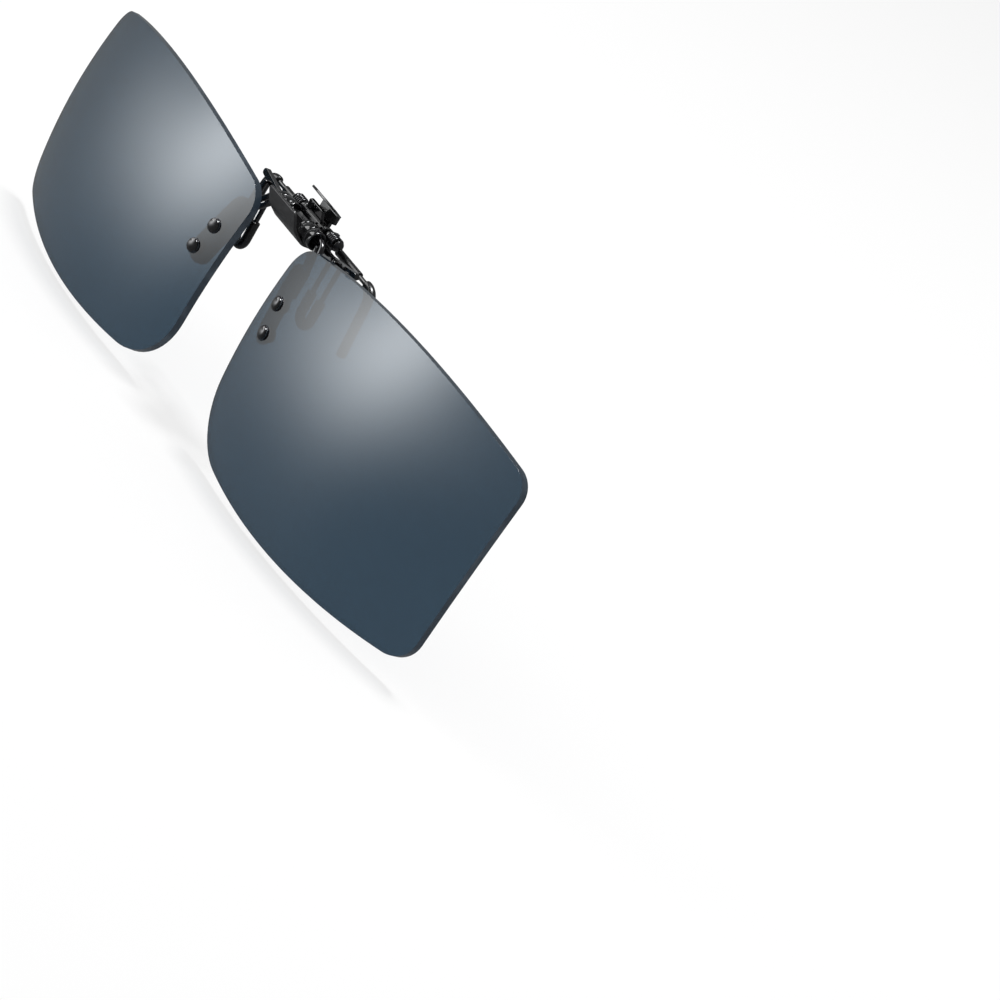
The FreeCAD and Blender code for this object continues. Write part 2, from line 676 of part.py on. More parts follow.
def make_front_jaw():
    """One stamping: middle plate, two tapered arms, the front finger tab and two ears."""
    corners = [
        ("-jaw_half", "jaw_foot"),
        ("jaw_half", "jaw_foot"),
        ("jaw_half", "arm_root_mid - arm_root"),
        ("arm_elbow", "arm_root_mid - arm_root"),
        ("arm_reach", "arm_tip_mid - arm_tip", "arm_tip * 1.02"),
        ("arm_reach", "arm_tip_mid + arm_tip"),
        ("arm_elbow", "arm_root_mid + arm_root"),
        ("jaw_half", "arm_root_mid + arm_root"),
        ("jaw_half", "jaw_top"),
        ("-jaw_half", "jaw_top"),
        ("-jaw_half", "arm_root_mid + arm_root"),
        ("-arm_elbow", "arm_root_mid + arm_root"),
        ("-arm_reach", "arm_tip_mid + arm_tip", "arm_tip * 1.02"),
        ("-arm_reach", "arm_tip_mid - arm_tip"),
        ("-arm_elbow", "arm_root_mid - arm_root"),
        ("-jaw_half", "arm_root_mid - arm_root"),
    ]
    plate = slab("front_jaw_plate", "XZ_Plane", corners, "jaw_sheet", f"{JAW_FRONT} + jaw_sheet / 2")
    tab = slab("front_tab", "XZ_Plane", [
        ("-front_tab_half", "-jaw_sheet / 2"),
        ("front_tab_half", "-jaw_sheet / 2"),
        ("front_tab_half * 0.9", "front_tab_long"),
        ("-front_tab_half * 0.9", "front_tab_long"),
    ], "front_tab_sheet")
    place(tab, "0", f"{JAW_FRONT} + jaw_sheet / 2", "jaw_top", "front_tab_lean", (1, 0, 0))
    pieces, drill = ears(
        "front_ear", "front_ear_inner", FRONT_EAR_OUTER, f"{JAW_FRONT} + jaw_sheet / 2", "-pivot_ahead",
        "pin_rad + pin_seat",
    )
    label(cut("front_jaw_drilled", fuse("front_jaw_blank", plate, tab, *pieces), drill), "front_jaw")


def make_rear_jaw():
    """Rear stamping: a low bar, two ears outside the front jaw's, and a stemmed tab folded forwards."""
    near, far = "rear_near", "(rear_near + rear_sheet)"
    bar = box("rear_bar", (f"-{REAR_EAR_OUTER}", REAR_EAR_OUTER), (near, far), ("bar_foot", "bar_top"))
    stem = slab("rear_stem", "XZ_Plane", [
        ("-stem_half", "bar_foot"),
        ("stem_half", "bar_foot"),
        ("stem_half", "stem_top"),
        ("rear_tab_root", "stem_top + 0.25"),
        ("rear_tab_root", "rear_tab_fold"),
        ("-rear_tab_root", "rear_tab_fold"),
        ("-rear_tab_root", "stem_top + 0.25"),
        ("-stem_half", "stem_top"),
    ], "rear_sheet", f"{near} + rear_sheet / 2")
    tab = slab("rear_tab", "XZ_Plane", [
        ("-rear_tab_root", "-rear_sheet / 2"),
        ("rear_tab_root", "-rear_sheet / 2"),
        ("rear_tab_tip", "rear_tab_long", "rear_tab_tip * 2"),
        ("-rear_tab_tip", "rear_tab_long"),
    ], "rear_tab_sheet")
    place(tab, "0", f"{near} + rear_sheet / 2", "rear_tab_fold", "rear_tab_lean", (1, 0, 0))
    pieces, drill = ears(
        "rear_ear", REAR_EAR_INNER, REAR_EAR_OUTER, "-pivot_ahead", far, "pin_rad + pin_play"
    )
    label(cut("rear_jaw_drilled", fuse("rear_jaw_blank", bar, stem, tab, *pieces), drill), "rear_jaw")


def make_jaw_pin():
    shaft = rod("pin_shaft", "pin_rad", "-pin_half", "pin_half", **PIVOT)
    head = rod("pin_head", "pin_head_rad", "-pin_half - pin_head_thick", "-pin_half", **PIVOT)
    label(fuse("jaw_pin", shaft, head), "jaw_pin")
    label(rod("pin_cap", "pin_head_rad", "pin_half", "pin_half + pin_head_thick", **PIVOT), "jaw_pin_cap")


def make_springs():
    """A closed-wound coil round the pin, outside the rear ears."""
    pitch, turns, mean = size("spring_pitch"), size("spring_turns"), size("spring_mean")
    helix = Part.makeHelix(pitch, pitch * turns, mean)
    ring = Part.Wire(Part.Circle(Vector(mean, 0, 0), Vector(0, 1, 0), size("spring_wire")).toShape())
    coil = Part.Wire(helix).makePipeShell([ring], True, True)
    coil.Placement = FreeCAD.Placement(
        Vector(size("spring_near + spring_wire"), -size("pivot_ahead"), size("pivot_above")),
        Rotation(Vector(0, 0, 1), Vector(1, 0, 0)),
    )
    pair(feature("right_spring", coil), "jaw_spring")


# ---------------------------------------------------------------- prongs and sleeves
def make_rear_prongs():
    """A wire soldered to the rear jaw's back runs outwards, then turns down behind the spectacles."""
    wire = size("prong_wire")
    y = size("rear_near + rear_sheet + prong_wire")
    z = size("rear_wire_above")
    start = Vector(size("rear_wire_start"), y, z)
    corner = Vector(size("rear_reach"), y, z)
    tip = Vector(size("rear_tip_out"), size("rear_tip_behind"), -size("prong_drop"))
    bar = swept(bent_path([start, corner, tip], [size("rear_bend")]), wire)
    pair(feature("right_rear_wire", bar), "rear_prong")
    near, far = (Vector(size(f"rod_sleeve_{end}"), y, z) for end in ("near", "far"))
    rod_sleeve = Part.makeCylinder(size("rod_sleeve_rad"), (far - near).Length, near, Vector(1, 0, 0))
    rod_sleeve = rod_sleeve.cut(Part.makeCylinder(wire, (far - near).Length, near, Vector(1, 0, 0)))
    pair(feature("right_rod_sleeve", rod_sleeve), "rear_rod_sleeve")
    down = (tip - corner).normalize()
    bend_reach = size("rear_bend") * math.tan((corner - start).getAngle(down) / 2)
    from_bend = corner - Vector(bend_reach, 0, 0)
    end = tip + down * size("tip_sleeve_end")
    path = bent_path([from_bend - Vector(size("tip_sleeve_end"), 0, 0), corner, end], [size("rear_bend")])
    pair(feature("right_rear_tip", swept(path, size("tip_sleeve_rad")).cut(bar)), "rear_tip_sleeve")


def make_front_prongs():
    """A hairpin of wire soldered to the arm's front, which leans back and is sleeved round its turn."""
    wire = size("prong_wire")
    y_top = size(JAW_FRONT) - wire
    near, far = size("front_leg_near"), size("front_leg_far")
    turn_radius = (far - near) / 2
    top, knee, low = (size(f"front_leg_{level}") for level in ("top", "knee", "low"))
    y_low = -size("front_leg_ahead")
    bend = size("front_knee_bend")
    down = Vector(0, y_low - y_top, low - knee).normalize()

    def hairpin(start_height, radius):
        """Round bar down one leg, round the turn and up the other leg to the same height."""
        at = (start_height - knee) / (low - knee)
        inner_leg, outer_leg = [], []
        for leg, x in ((inner_leg, near), (outer_leg, far)):
            if start_height > knee:
                leg += [Vector(x, y_top, start_height), Vector(x, y_top, knee)]
            else:
                leg.append(Vector(x, y_top + at * (y_low - y_top), start_height))
            leg.append(Vector(x, y_low, low))
        radii = [bend] if start_height > knee else []
        first, last = bent_path(inner_leg, radii), bent_path(outer_leg, radii)
        turn_low = Vector((near + far) / 2, y_low, low) + down * turn_radius
        turn = Part.Arc(inner_leg[-1], turn_low, outer_leg[-1]).toShape()
        backwards = [e.reversed() for e in reversed(last.Edges)]
        return swept(Part.Wire([*first.Edges, turn, *backwards]), radius)

    bar = hairpin(top, wire)
    pair(feature("right_front_wire", bar), "front_prong")
    sleeve = hairpin(size("front_sleeve_top"), size("tip_sleeve_rad")).cut(bar)
    pair(feature("right_front_sleeve", sleeve), "front_tip_sleeve")


# ---------------------------------------------------------------- build, check and write
for make in (
    make_lenses, make_brackets, make_rivets, make_neck_wires, make_hinge, make_cover, make_front_jaw,
    make_rear_jaw, make_jaw_pin, make_springs, make_rear_prongs, make_front_prongs,
):
    make()
doc.recompute()

failed = [o.Name for o in doc.Objects if {"Invalid", "Error"} & set(o.State)]
if failed:
    raise SystemExit(f"these objects failed: {failed}")
for piece in finished:
    if piece.Shape.isNull() or not piece.Shape.isValid() or not piece.Shape.Solids:
        raise SystemExit(f"{piece.Label} has no valid solid")

os.makedirs(PARTS, exist_ok=True)
for piece in finished:
    solids = piece.Shape.Solids
    shape = solids[0] if len(solids) == 1 else Part.makeCompound(solids)
    shape.exportStep(os.path.join(PARTS, piece.Label + ".step"))
    print(f"{piece.Label}: {len(solids)} solid(s), {piece.Shape.Volume:.3f} mm3")
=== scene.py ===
"""Looks of a pair of clip-on tinted lenses that flip up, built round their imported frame.

Sizes are in millimetres in the row frame: +Z up, the lenses' fronts face -Y, and the middle of the grip
is the origin. Each class builds one sub-assembly with bmesh operators and dresses it. Shapes are made for
the side at +X and mirrored for the other.
"""

import json
import logging
import math
from dataclasses import dataclass
from enum import Enum
from typing import Any, Callable, Iterable, Sequence, Union

import bmesh
import bpy
from mathutils import Matrix, Vector

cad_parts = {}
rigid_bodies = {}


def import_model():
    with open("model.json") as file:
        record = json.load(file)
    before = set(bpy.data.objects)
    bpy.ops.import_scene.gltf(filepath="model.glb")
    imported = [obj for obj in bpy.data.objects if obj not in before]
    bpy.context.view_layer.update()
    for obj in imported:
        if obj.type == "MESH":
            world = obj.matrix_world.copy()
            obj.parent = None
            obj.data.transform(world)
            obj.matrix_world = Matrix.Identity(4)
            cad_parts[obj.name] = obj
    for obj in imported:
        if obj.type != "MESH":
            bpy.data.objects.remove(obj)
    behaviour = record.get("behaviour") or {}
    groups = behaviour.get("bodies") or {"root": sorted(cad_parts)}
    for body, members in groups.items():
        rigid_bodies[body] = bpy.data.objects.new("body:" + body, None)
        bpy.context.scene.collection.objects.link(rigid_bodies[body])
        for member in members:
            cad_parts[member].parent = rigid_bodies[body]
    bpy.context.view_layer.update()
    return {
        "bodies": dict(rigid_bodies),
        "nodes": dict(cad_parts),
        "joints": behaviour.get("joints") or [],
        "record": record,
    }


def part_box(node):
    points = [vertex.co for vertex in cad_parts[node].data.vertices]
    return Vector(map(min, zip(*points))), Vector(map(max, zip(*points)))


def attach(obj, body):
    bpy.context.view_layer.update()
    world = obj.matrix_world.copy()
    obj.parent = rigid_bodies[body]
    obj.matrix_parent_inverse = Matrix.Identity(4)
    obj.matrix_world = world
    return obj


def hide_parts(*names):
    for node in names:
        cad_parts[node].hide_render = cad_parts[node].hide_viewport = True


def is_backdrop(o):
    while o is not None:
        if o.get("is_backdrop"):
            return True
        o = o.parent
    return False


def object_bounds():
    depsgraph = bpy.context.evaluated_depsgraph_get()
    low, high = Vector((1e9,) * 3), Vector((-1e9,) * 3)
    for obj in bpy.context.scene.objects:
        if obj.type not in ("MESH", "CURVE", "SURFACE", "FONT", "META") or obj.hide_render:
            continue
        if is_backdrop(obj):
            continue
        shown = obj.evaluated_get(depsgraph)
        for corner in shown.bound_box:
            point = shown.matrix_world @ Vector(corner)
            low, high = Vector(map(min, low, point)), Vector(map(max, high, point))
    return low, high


LOG = logging.getLogger("clip_on_lenses")
METRE = 0.001  # one millimetre
SIDES = {"right": 1.0, "left": -1.0}
X, Y, Z = Vector((1, 0, 0)), Vector((0, 1, 0)), Vector((0, 0, 1))
SHARP = 50.0  # an edge that turns more than this, in degrees, is one to be rounded
SAME = 1e-3  # two places nearer than this are one


# ---------------------------------------------------------------- shader sheets
class Value:
    """A node's output. Arithmetic on it adds Math nodes."""

    def __init__(self, sheet: "Sheet", socket: bpy.types.NodeSocket) -> None:
        """Wraps one output socket of a sheet.

        Args:
            sheet: The sheet that the socket is on.
            socket: The output to wrap.
        """
        self.sheet = sheet
        self.socket = socket

    def _math(self, operation: str, *others: Union["Value", float]) -> "Value":
        """Adds a Math node fed by this value and the others.

        Args:
            operation: The Math node's operation.
            others: Its further inputs.

        Returns:
            The node's output.
        """
        inputs = dict(enumerate((self, *others)))
        return self.sheet.node("ShaderNodeMath", {"operation": operation}, inputs)

    def __add__(self, other: Union["Value", float]) -> "Value":
        """The sum."""
        return self._math("ADD", other)

    __radd__ = __add__

    def __mul__(self, other: Union["Value", float]) -> "Value":
        """The product."""
        return self._math("MULTIPLY", other)

    __rmul__ = __mul__

    def __sub__(self, other: Union["Value", float]) -> "Value":
        """The difference."""
        return self._math("SUBTRACT", other)

    def __rsub__(self, other: float) -> "Value":
        """A number less this value."""
        return self._math("MULTIPLY_ADD", -1.0, other)

    def __truediv__(self, other: Union["Value", float]) -> "Value":
        """The quotient."""
        return self._math("DIVIDE", other)

    def most(self, other: Union["Value", float]) -> "Value":
        """The larger of the two."""
        return self._math("MAXIMUM", other)

    def clipped(self) -> "Value":
        """This value kept from 0 to 1."""
        return self._math("MAXIMUM", 0.0)._math("MINIMUM", 1.0)

    def step(self, low: float, high: float) -> "Value":
        """A smooth step of this value.

        Args:
            low: Where the step is still 0.
            high: Where it has reached 1.

        Returns:
            0 below low, 1 above high, smooth between them.
        """
        settings = {"interpolation_type": "SMOOTHSTEP"}
        return self.sheet.node("ShaderNodeMapRange", settings, {0: self, 1: low, 2: high})


Feed = Union[Value, float, Sequence[float], str]


class Sheet:
    """The node tree of one material or of the world."""

    def __init__(self, owner: Union[bpy.types.Material, bpy.types.World]) -> None:
        """Empties the owner's tree.

        Args:
            owner: The material or world to write.
        """
        owner.use_nodes = True
        self.tree = owner.node_tree
        self.tree.nodes.clear()

    def node(
        self,
        kind: str,
        settings: Union[dict[str, Any], None] = None,
        values: Union[dict[Union[str, int], Feed], None] = None,
        out: Union[str, int] = 0,
    ) -> Union[Value, None]:
        """Adds a node.

        Args:
            kind: The node's type.
            settings: Its properties, which are set first.
            values: What feeds its inputs, by name or number.
            out: Which output is wanted.

        Returns:
            That output, or nothing from a node that ends the tree.
        """
        made = self.tree.nodes.new(kind)
        for name, setting in (settings or {}).items():
            setattr(made, name, setting)
        for name, value in (values or {}).items():
            if isinstance(value, Value):
                self.tree.links.new(value.socket, made.inputs[name])
            else:
                made.inputs[name].default_value = value
        return Value(self, made.outputs[out]) if made.outputs else None

    def mix(self, share: Feed, first: Feed, second: Feed) -> Value:
        """A colour between two.

        Args:
            share: How much of the second, from 0 to 1.
            first: The colour at 0.
            second: The colour at 1.

        Returns:
            The mixed colour.
        """
        settings = {"data_type": "RGBA", "clamp_factor": True}
        return self.node("ShaderNodeMix", settings, {0: share, 6: first, 7: second}, 2)

    def place(self) -> Value:
        """Where the shaded point lies in its object, in metres."""
        return self.node("ShaderNodeTexCoord", out="Object")

    def ray(self, kind: str) -> Value:
        """1 for rays of one kind, and 0 for the others."""
        return self.node("ShaderNodeLightPath", out=kind)

    def along(self, axis: str) -> Value:
        """The shaded point's place along one axis."""
        return self.node("ShaderNodeSeparateXYZ", None, {0: self.place()}, axis)

    def noise(self, per_metre: float, detail: float = 3.0, stretch: Sequence[float] = (1, 1, 1)) -> Value:
        """Soft noise.

        Args:
            per_metre: How many of its blobs there are in a metre.
            detail: How many finer layers it has.
            stretch: How much each axis is squeezed.

        Returns:
            The noise, about 0.5 on average.
        """
        where = self.node("ShaderNodeMapping", None, {0: self.place(), "Scale": stretch})
        return self.node("ShaderNodeTexNoise", None, {0: where, "Scale": per_metre, "Detail": detail})

    def bump(self, height: Value, depth: float, strength: float) -> Value:
        """A normal roughened by a height.

        Args:
            height: The height, about 0 to 1.
            depth: How deep 1 is, in metres.
            strength: How much of it shows.

        Returns:
            The normal.
        """
        inputs = {"Height": height, "Distance": depth, "Strength": strength}
        return self.node("ShaderNodeBump", None, inputs)

    def end(self, shader: Value, kind: str = "ShaderNodeOutputMaterial") -> None:
        """Joins the last shader to the tree's output.

        Args:
            shader: The shader.
            kind: The output node's type.
        """
        self.node(kind, None, {0: shader})


def linear(red: int, green: int, blue: int) -> tuple[float, float, float, float]:
    """A display colour as the renderer takes it.

    Args:
        red: From 0 to 255.
        green: From 0 to 255.
        blue: From 0 to 255.

    Returns:
        Red, green, blue and 1.
    """
    shares = (c / 255 for c in (red, green, blue))
    return (*(s / 12.92 if s <= 0.04045 else ((s + 0.055) / 1.055) ** 2.4 for s in shares), 1.0)


# ---------------------------------------------------------------- finishes
@dataclass(frozen=True)
class DarkMetal:
    """Plated or lacquered metal: a dark colour with faint blotches, fine pits and rubbed spots.

    Blotches and grain are counted in a metre, depth is in metres, and worn is the span of the noise over
    which the plating gives way to the rubbed colour.
    """

    name: str
    colour: tuple[float, float, float, float]
    rubbed: tuple[float, float, float, float]
    roughness: float = 0.2
    spread: float = 0.08
    metallic: float = 0.0
    coat: float = 0.6
    blotches: float = 420.0
    grain: float = 5000.0
    depth: float = 0.000012
    brushed: tuple[float, float, float] = (1.0, 1.0, 1.0)
    worn: tuple[float, float] = (0.84, 1.02)
    pits: float = 0.25

    def material(self) -> bpy.types.Material:
        """Writes the material.

        Returns:
            The material.
        """
        made = bpy.data.materials.new(self.name)
        sheet = Sheet(made)
        blotch = sheet.noise(self.blotches, 4.0)
        fine = sheet.noise(self.grain, 3.0, self.brushed)
        wear = (blotch + 0.5 * fine).step(*self.worn)
        tone = sheet.mix(wear, self.colour, self.rubbed)
        tone = sheet.mix(self.pits * fine, tone, (0.0, 0.0, 0.0, 1.0))
        rough = self.roughness + self.spread * (fine - 0.5) + 0.6 * self.spread * wear
        body = sheet.node(
            "ShaderNodeBsdfPrincipled",
            None,
            {
                "Base Color": tone,
                "Roughness": rough.clipped(),
                "Metallic": self.metallic,
                "Coat Weight": self.coat,
                "Coat Roughness": 0.035,
                "Normal": sheet.bump(fine, self.depth, 0.35),
            },
        )
        sheet.end(body)
        return made


@dataclass(frozen=True)
class TintedPlastic:
    """Polished dark plastic that lets a little blue-grey light through, with a thin hard coat.

    Passes is what gets through it, shade what it leaves of a lamp's light in its shadow, and top and foot
    are the heights, in metres, between which it darkens a little upwards.
    """

    name: str = "tinted_polarised_plastic"
    passes: tuple[float, float, float, float] = (0.028, 0.058, 0.088, 1.0)
    shade: tuple[float, float, float, float] = (0.40, 0.43, 0.47, 1.0)
    stain: tuple[float, float, float, float] = (0.02, 0.03, 0.05, 1.0)
    darker: float = 0.86
    film: float = 55.0
    index: float = 1.55
    coat_index: float = 1.75
    top: float = 0.009
    foot: float = -0.027

    def material(self) -> bpy.types.Material:
        """Writes the material. Lamps shine through it, so that its shadow is a tint and not black.

        Returns:
            The material.
        """
        made = bpy.data.materials.new(self.name)
        sheet = Sheet(made)
        height = sheet.along("Z").step(self.foot, self.top)
        deep = tuple(self.darker * c for c in self.passes[:3]) + (1.0,)
        film = sheet.noise(self.film, 2.0)
        tint = sheet.mix(height, self.passes, deep)
        tint = sheet.mix(0.12 * film, tint, self.stain)
        glass = sheet.node(
            "ShaderNodeBsdfPrincipled",
            None,
            {
                "Base Color": tint,
                "Roughness": 0.0,
                "IOR": self.index,
                "Transmission Weight": 1.0,
                "Coat Weight": (0.92 + 0.08 * film).clipped(),
                "Coat Roughness": 0.03,
                "Coat IOR": self.coat_index,
                "Coat Tint": (0.95, 0.98, 1.0, 1.0),
            },
        )
        through = sheet.node("ShaderNodeBsdfTransparent", None, {"Color": self.shade})
        inputs = {0: sheet.ray("Is Shadow Ray"), 1: glass, 2: through}
        sheet.end(sheet.node("ShaderNodeMixShader", None, inputs))
        return made


@dataclass(frozen=True)
class Plastic:
    """A plain moulded or drawn plastic, with a soft skin of fine grain and faint handling marks."""

    name: str
    colour: tuple[float, float, float, float]
    handled: tuple[float, float, float, float]
    roughness: float = 0.38
    clear: float = 0.0
    blotches: float = 300.0
    grain: float = 3500.0
    depth: float = 0.00002
    coat: float = 0.0
    marked: tuple[float, float] = (0.42, 0.72)

    def material(self) -> bpy.types.Material:
        """Writes the material.

        Returns:
            The material.
        """
        made = bpy.data.materials.new(self.name)
        sheet = Sheet(made)
        blotch = sheet.noise(self.blotches, 3.0)
        grain = sheet.noise(self.grain, 2.0)
        tone = sheet.mix(blotch.step(*self.marked), self.colour, self.handled)
        body = sheet.node(
            "ShaderNodeBsdfPrincipled",
            None,
            {
                "Base Color": tone,
                "Roughness": (self.roughness + 0.12 * (blotch - 0.5)).clipped(),
                "IOR": 1.5,
                "Transmission Weight": self.clear,
                "Coat Weight": self.coat,
                "Normal": sheet.bump(grain, self.depth, 0.3),
            },
        )
        sheet.end(body)
        return made


class Slot(Enum):
    """The record's material slots."""

    LENS = "tinted_lens"
    BRACKET = "bracket_metal"
    RIVET = "rivet_metal"
    BUSH = "clear_bush"
    NECK = "neck_metal"
    BARREL = "barrel_metal"
    NYLON = "nylon"
    AXLE = "axle_steel"
    SPRING = "spring_steel"
    COVER = "cover_metal"
    FRONT_JAW = "front_jaw_metal"
    REAR_JAW = "rear_jaw_metal"
    PRONG = "prong_wire"
    SLEEVE = "vinyl_sleeve"


def black(name: str, dark: int, rubbed: int, roughness: float, **more: Any) -> DarkMetal:
    """A black plating, both of whose tones are a touch blue.

    Args:
        name: The material's name.
        dark: The plating's grey, from 0 to 255.
        rubbed: The grey of its rubbed spots.
        roughness: Its roughness.
        more: Any further fields of the finish.

    Returns:
        The finish.
    """
    deep, worn = linear(dark, dark, dark + 2), linear(rubbed, rubbed, rubbed + 4)
    return DarkMetal(name, deep, worn, roughness, **more)


FINISHES: dict[Slot, Union[DarkMetal, TintedPlastic, Plastic]] = {
    Slot.LENS: TintedPlastic(),
    Slot.BRACKET: DarkMetal("black_plated_bracket", linear(20, 21, 24), linear(48, 50, 54), 0.2),
    Slot.RIVET: DarkMetal(
        "black_domed_rivet", linear(8, 8, 10), linear(20, 20, 23), 0.1, spread=0.04, coat=1.0
    ),
    Slot.BUSH: Plastic("clear_nylon_bush", linear(52, 60, 68), linear(40, 48, 56), 0.25, clear=0.5),
    Slot.NECK: black("black_plated_neck_wire", 10, 34, 0.1, spread=0.05, coat=1.0),
    Slot.BARREL: black("black_turned_barrel", 10, 38, 0.11, spread=0.06, coat=1.0, brushed=(6.0, 1.0, 1.0)),
    Slot.NYLON: Plastic("dark_nylon_washer", linear(40, 40, 42), linear(56, 56, 58), 0.45),
    Slot.AXLE: black("blackened_axle", 36, 84, 0.22, metallic=0.4, brushed=(8.0, 1.0, 1.0)),
    Slot.SPRING: DarkMetal(
        "blackened_spring_wire", linear(38, 38, 41), linear(110, 110, 114), 0.16, metallic=0.6, coat=0.6
    ),
    Slot.COVER: DarkMetal(
        "charcoal_cover", linear(48, 48, 49), linear(66, 66, 68), 0.42, spread=0.1, coat=0.15, grain=7000.0
    ),
    Slot.FRONT_JAW: black("black_front_stamping", 12, 38, 0.12, spread=0.06, coat=1.0),
    Slot.REAR_JAW: black("black_rear_stamping", 12, 40, 0.12, spread=0.06, coat=1.0),
    Slot.PRONG: black("black_prong_wire", 12, 40, 0.12, spread=0.06, coat=1.0),
    Slot.SLEEVE: Plastic("black_vinyl_sleeve", linear(16, 16, 17), linear(26, 26, 28), 0.28, coat=0.35),
}
RIM = Plastic("polished_lens_rim", linear(44, 54, 64), linear(60, 70, 80), 0.16, coat=0.8)
KEPT_NODES = {"flip_axle": Slot.AXLE, "detent_leaf": Slot.SPRING}


class Workshop:
    """Keeps each finish's material, and hands it to pieces and to the frame's own nodes."""

    def __init__(self, frame: dict[str, Any]) -> None:
        """Makes every material once.
        """
        self.frame = frame
        self.materials = {slot: finish.material() for slot, finish in FINISHES.items()}
        self.rim = RIM.material()

    def dress_node(self, node: str, slot: Slot) -> None:
        """Gives a carried-over node its finish.

        Args:
            node: The node's name.
            slot: The slot whose finish it gets.
        """
        piece = self.frame["nodes"][node]
        piece.data.materials.clear()
        piece.data.materials.append(self.materials[slot])
        LOG.info("dressed %s as %s", node, slot.value)


# ---------------------------------------------------------------- mesh work
class Blank:
    """A mesh being worked, in millimetres."""

    def __init__(self) -> None:
        """Starts empty."""
        self.bm = bmesh.new()

    def chain(self, points: Iterable[Sequence[float]]) -> list[bmesh.types.BMVert]:
        """Adds a line of vertices, each joined to the next.

        Args:
            points: Where they lie.

        Returns:
            The vertices.
        """
        verts = [self.bm.verts.new(p) for p in points]
        for pair in zip(verts, verts[1:]):
            self.bm.edges.new(pair)
        return verts

    def turned(self, profile: Sequence[tuple[float, float]], steps: int = 48) -> "Blank":
        """Turns a profile about Z, as on a lathe.

        Args:
            profile: Radius and height of each of its points.
            steps: How many faces go round.

        Returns:
            This blank.
        """
        self.chain((radius, 0, height) for radius, height in profile)
        bmesh.ops.spin(
            self.bm, geom=self.bm.verts[:] + self.bm.edges[:], cent=(0, 0, 0), axis=Z, dvec=(0, 0, 0),
            angle=2 * math.pi, steps=steps, use_merge=True, use_normal_flip=False, use_duplicate=False,
        )
        return self.cleaned()

    def cleaned(self) -> "Blank":
        """Merges doubled vertices, then points all faces outwards.

        Returns:
            This blank.
        """
        bmesh.ops.remove_doubles(self.bm, verts=self.bm.verts[:], dist=1e-4)
        bmesh.ops.dissolve_degenerate(self.bm, dist=1e-5, edges=self.bm.edges[:])
        bmesh.ops.recalc_face_normals(self.bm, faces=self.bm.faces[:])
        return self

    def raised(self, near: float, far: float) -> "Blank":
        """Makes a flat face a plate from y near to y far.

        Args:
            near: Where its front face goes.
            far: Where its rear face goes.

        Returns:
            This blank.
        """
        self.moved(Matrix.Translation((0, near, 0)))
        grown = bmesh.ops.extrude_face_region(self.bm, geom=self.bm.faces[:])["geom"]
        verts = [g for g in grown if isinstance(g, bmesh.types.BMVert)]
        bmesh.ops.translate(self.bm, verts=verts, vec=(0, far - near, 0))
        return self.cleaned()

    def softened(
        self,
        offset: float,
        segments: int = 3,
        angle: float = 35.0,
        only: Union[Callable[[bmesh.types.BMEdge], bool], None] = None,
    ) -> "Blank":
        """Rounds the sharp edges.

        Args:
            offset: How far back the rounding starts.
            segments: How many faces it has across.
            angle: How sharply an edge turns, in degrees, to be rounded.
            only: Further test that an edge has to pass.

        Returns:
            This blank.
        """
        sharp = [
            e for e in self.bm.edges
            if len(e.link_faces) == 2
            and e.calc_face_angle(0) > math.radians(angle)
            and (only is None or only(e))
        ]
        bmesh.ops.bevel(
            self.bm, geom=sharp, offset=offset, offset_type="OFFSET", segments=segments, profile=0.5,
            affect="EDGES", material=-1, clamp_overlap=True, loop_slide=True,
        )
        return self

    def gridded(self, spacing: float) -> "Blank":
        """Cuts a flat outline into a grid, so that it can be bent to a sphere.

        Args:
            spacing: How far apart the cuts are.

        Returns:
            This blank.
        """
        for axis in (0, 2):
            low = min(v.co[axis] for v in self.bm.verts)
            high = max(v.co[axis] for v in self.bm.verts)
            count = max(2, round((high - low) / spacing))
            normal = X if axis == 0 else Z
            for i in range(1, count):
                at = normal * (low + (high - low) * i / count)
                bmesh.ops.bisect_plane(
                    self.bm, geom=self.bm.verts[:] + self.bm.edges[:] + self.bm.faces[:], dist=1e-4,
                    plane_co=at, plane_no=normal,
                )
        return self

    def domed(self, curve: float, centre: float) -> "Blank":
        """Pushes the flat mesh back onto a sphere.

        Args:
            curve: The sphere's radius.
            centre: How far behind the XZ plane its middle lies.

        Returns:
            This blank.
        """
        for vert in self.bm.verts:
            vert.co.y = centre - math.sqrt(curve**2 - vert.co.x**2 - vert.co.z**2)
        return self

    def moved(self, matrix: Matrix) -> "Blank":
        """Moves the whole mesh."""
        bmesh.ops.transform(self.bm, matrix=matrix, verts=self.bm.verts[:], space=Matrix.Identity(4))
        return self

    def aimed(self, at: Vector, along: Vector) -> "Blank":
        """Puts the mesh's origin at a point, and its Z along a direction."""
        turn = along.to_track_quat("Z", "Y").to_matrix().to_4x4()
        return self.moved(Matrix.Translation(at) @ turn)

    def joined(self, *others: "Blank") -> "Blank":
        """Adds copies of other blanks to this one.

        Args:
            others: The blanks.

        Returns:
            This blank.
        """
        for other in others:
            mesh = bpy.data.meshes.new("spare")
            other.bm.to_mesh(mesh)
            self.bm.from_mesh(mesh)
            bpy.data.meshes.remove(mesh)
        return self

    def copied(self) -> "Blank":
        """Another blank with the same mesh."""
        return Blank().joined(self)

    def flipped(self) -> "Blank":
        """Mirrors the mesh across the middle, and points its faces outwards again.

        Returns:
            This blank.
        """
        bmesh.ops.scale(self.bm, verts=self.bm.verts[:], vec=(-1, 1, 1))
        bmesh.ops.reverse_faces(self.bm, faces=self.bm.faces[:])
        return self

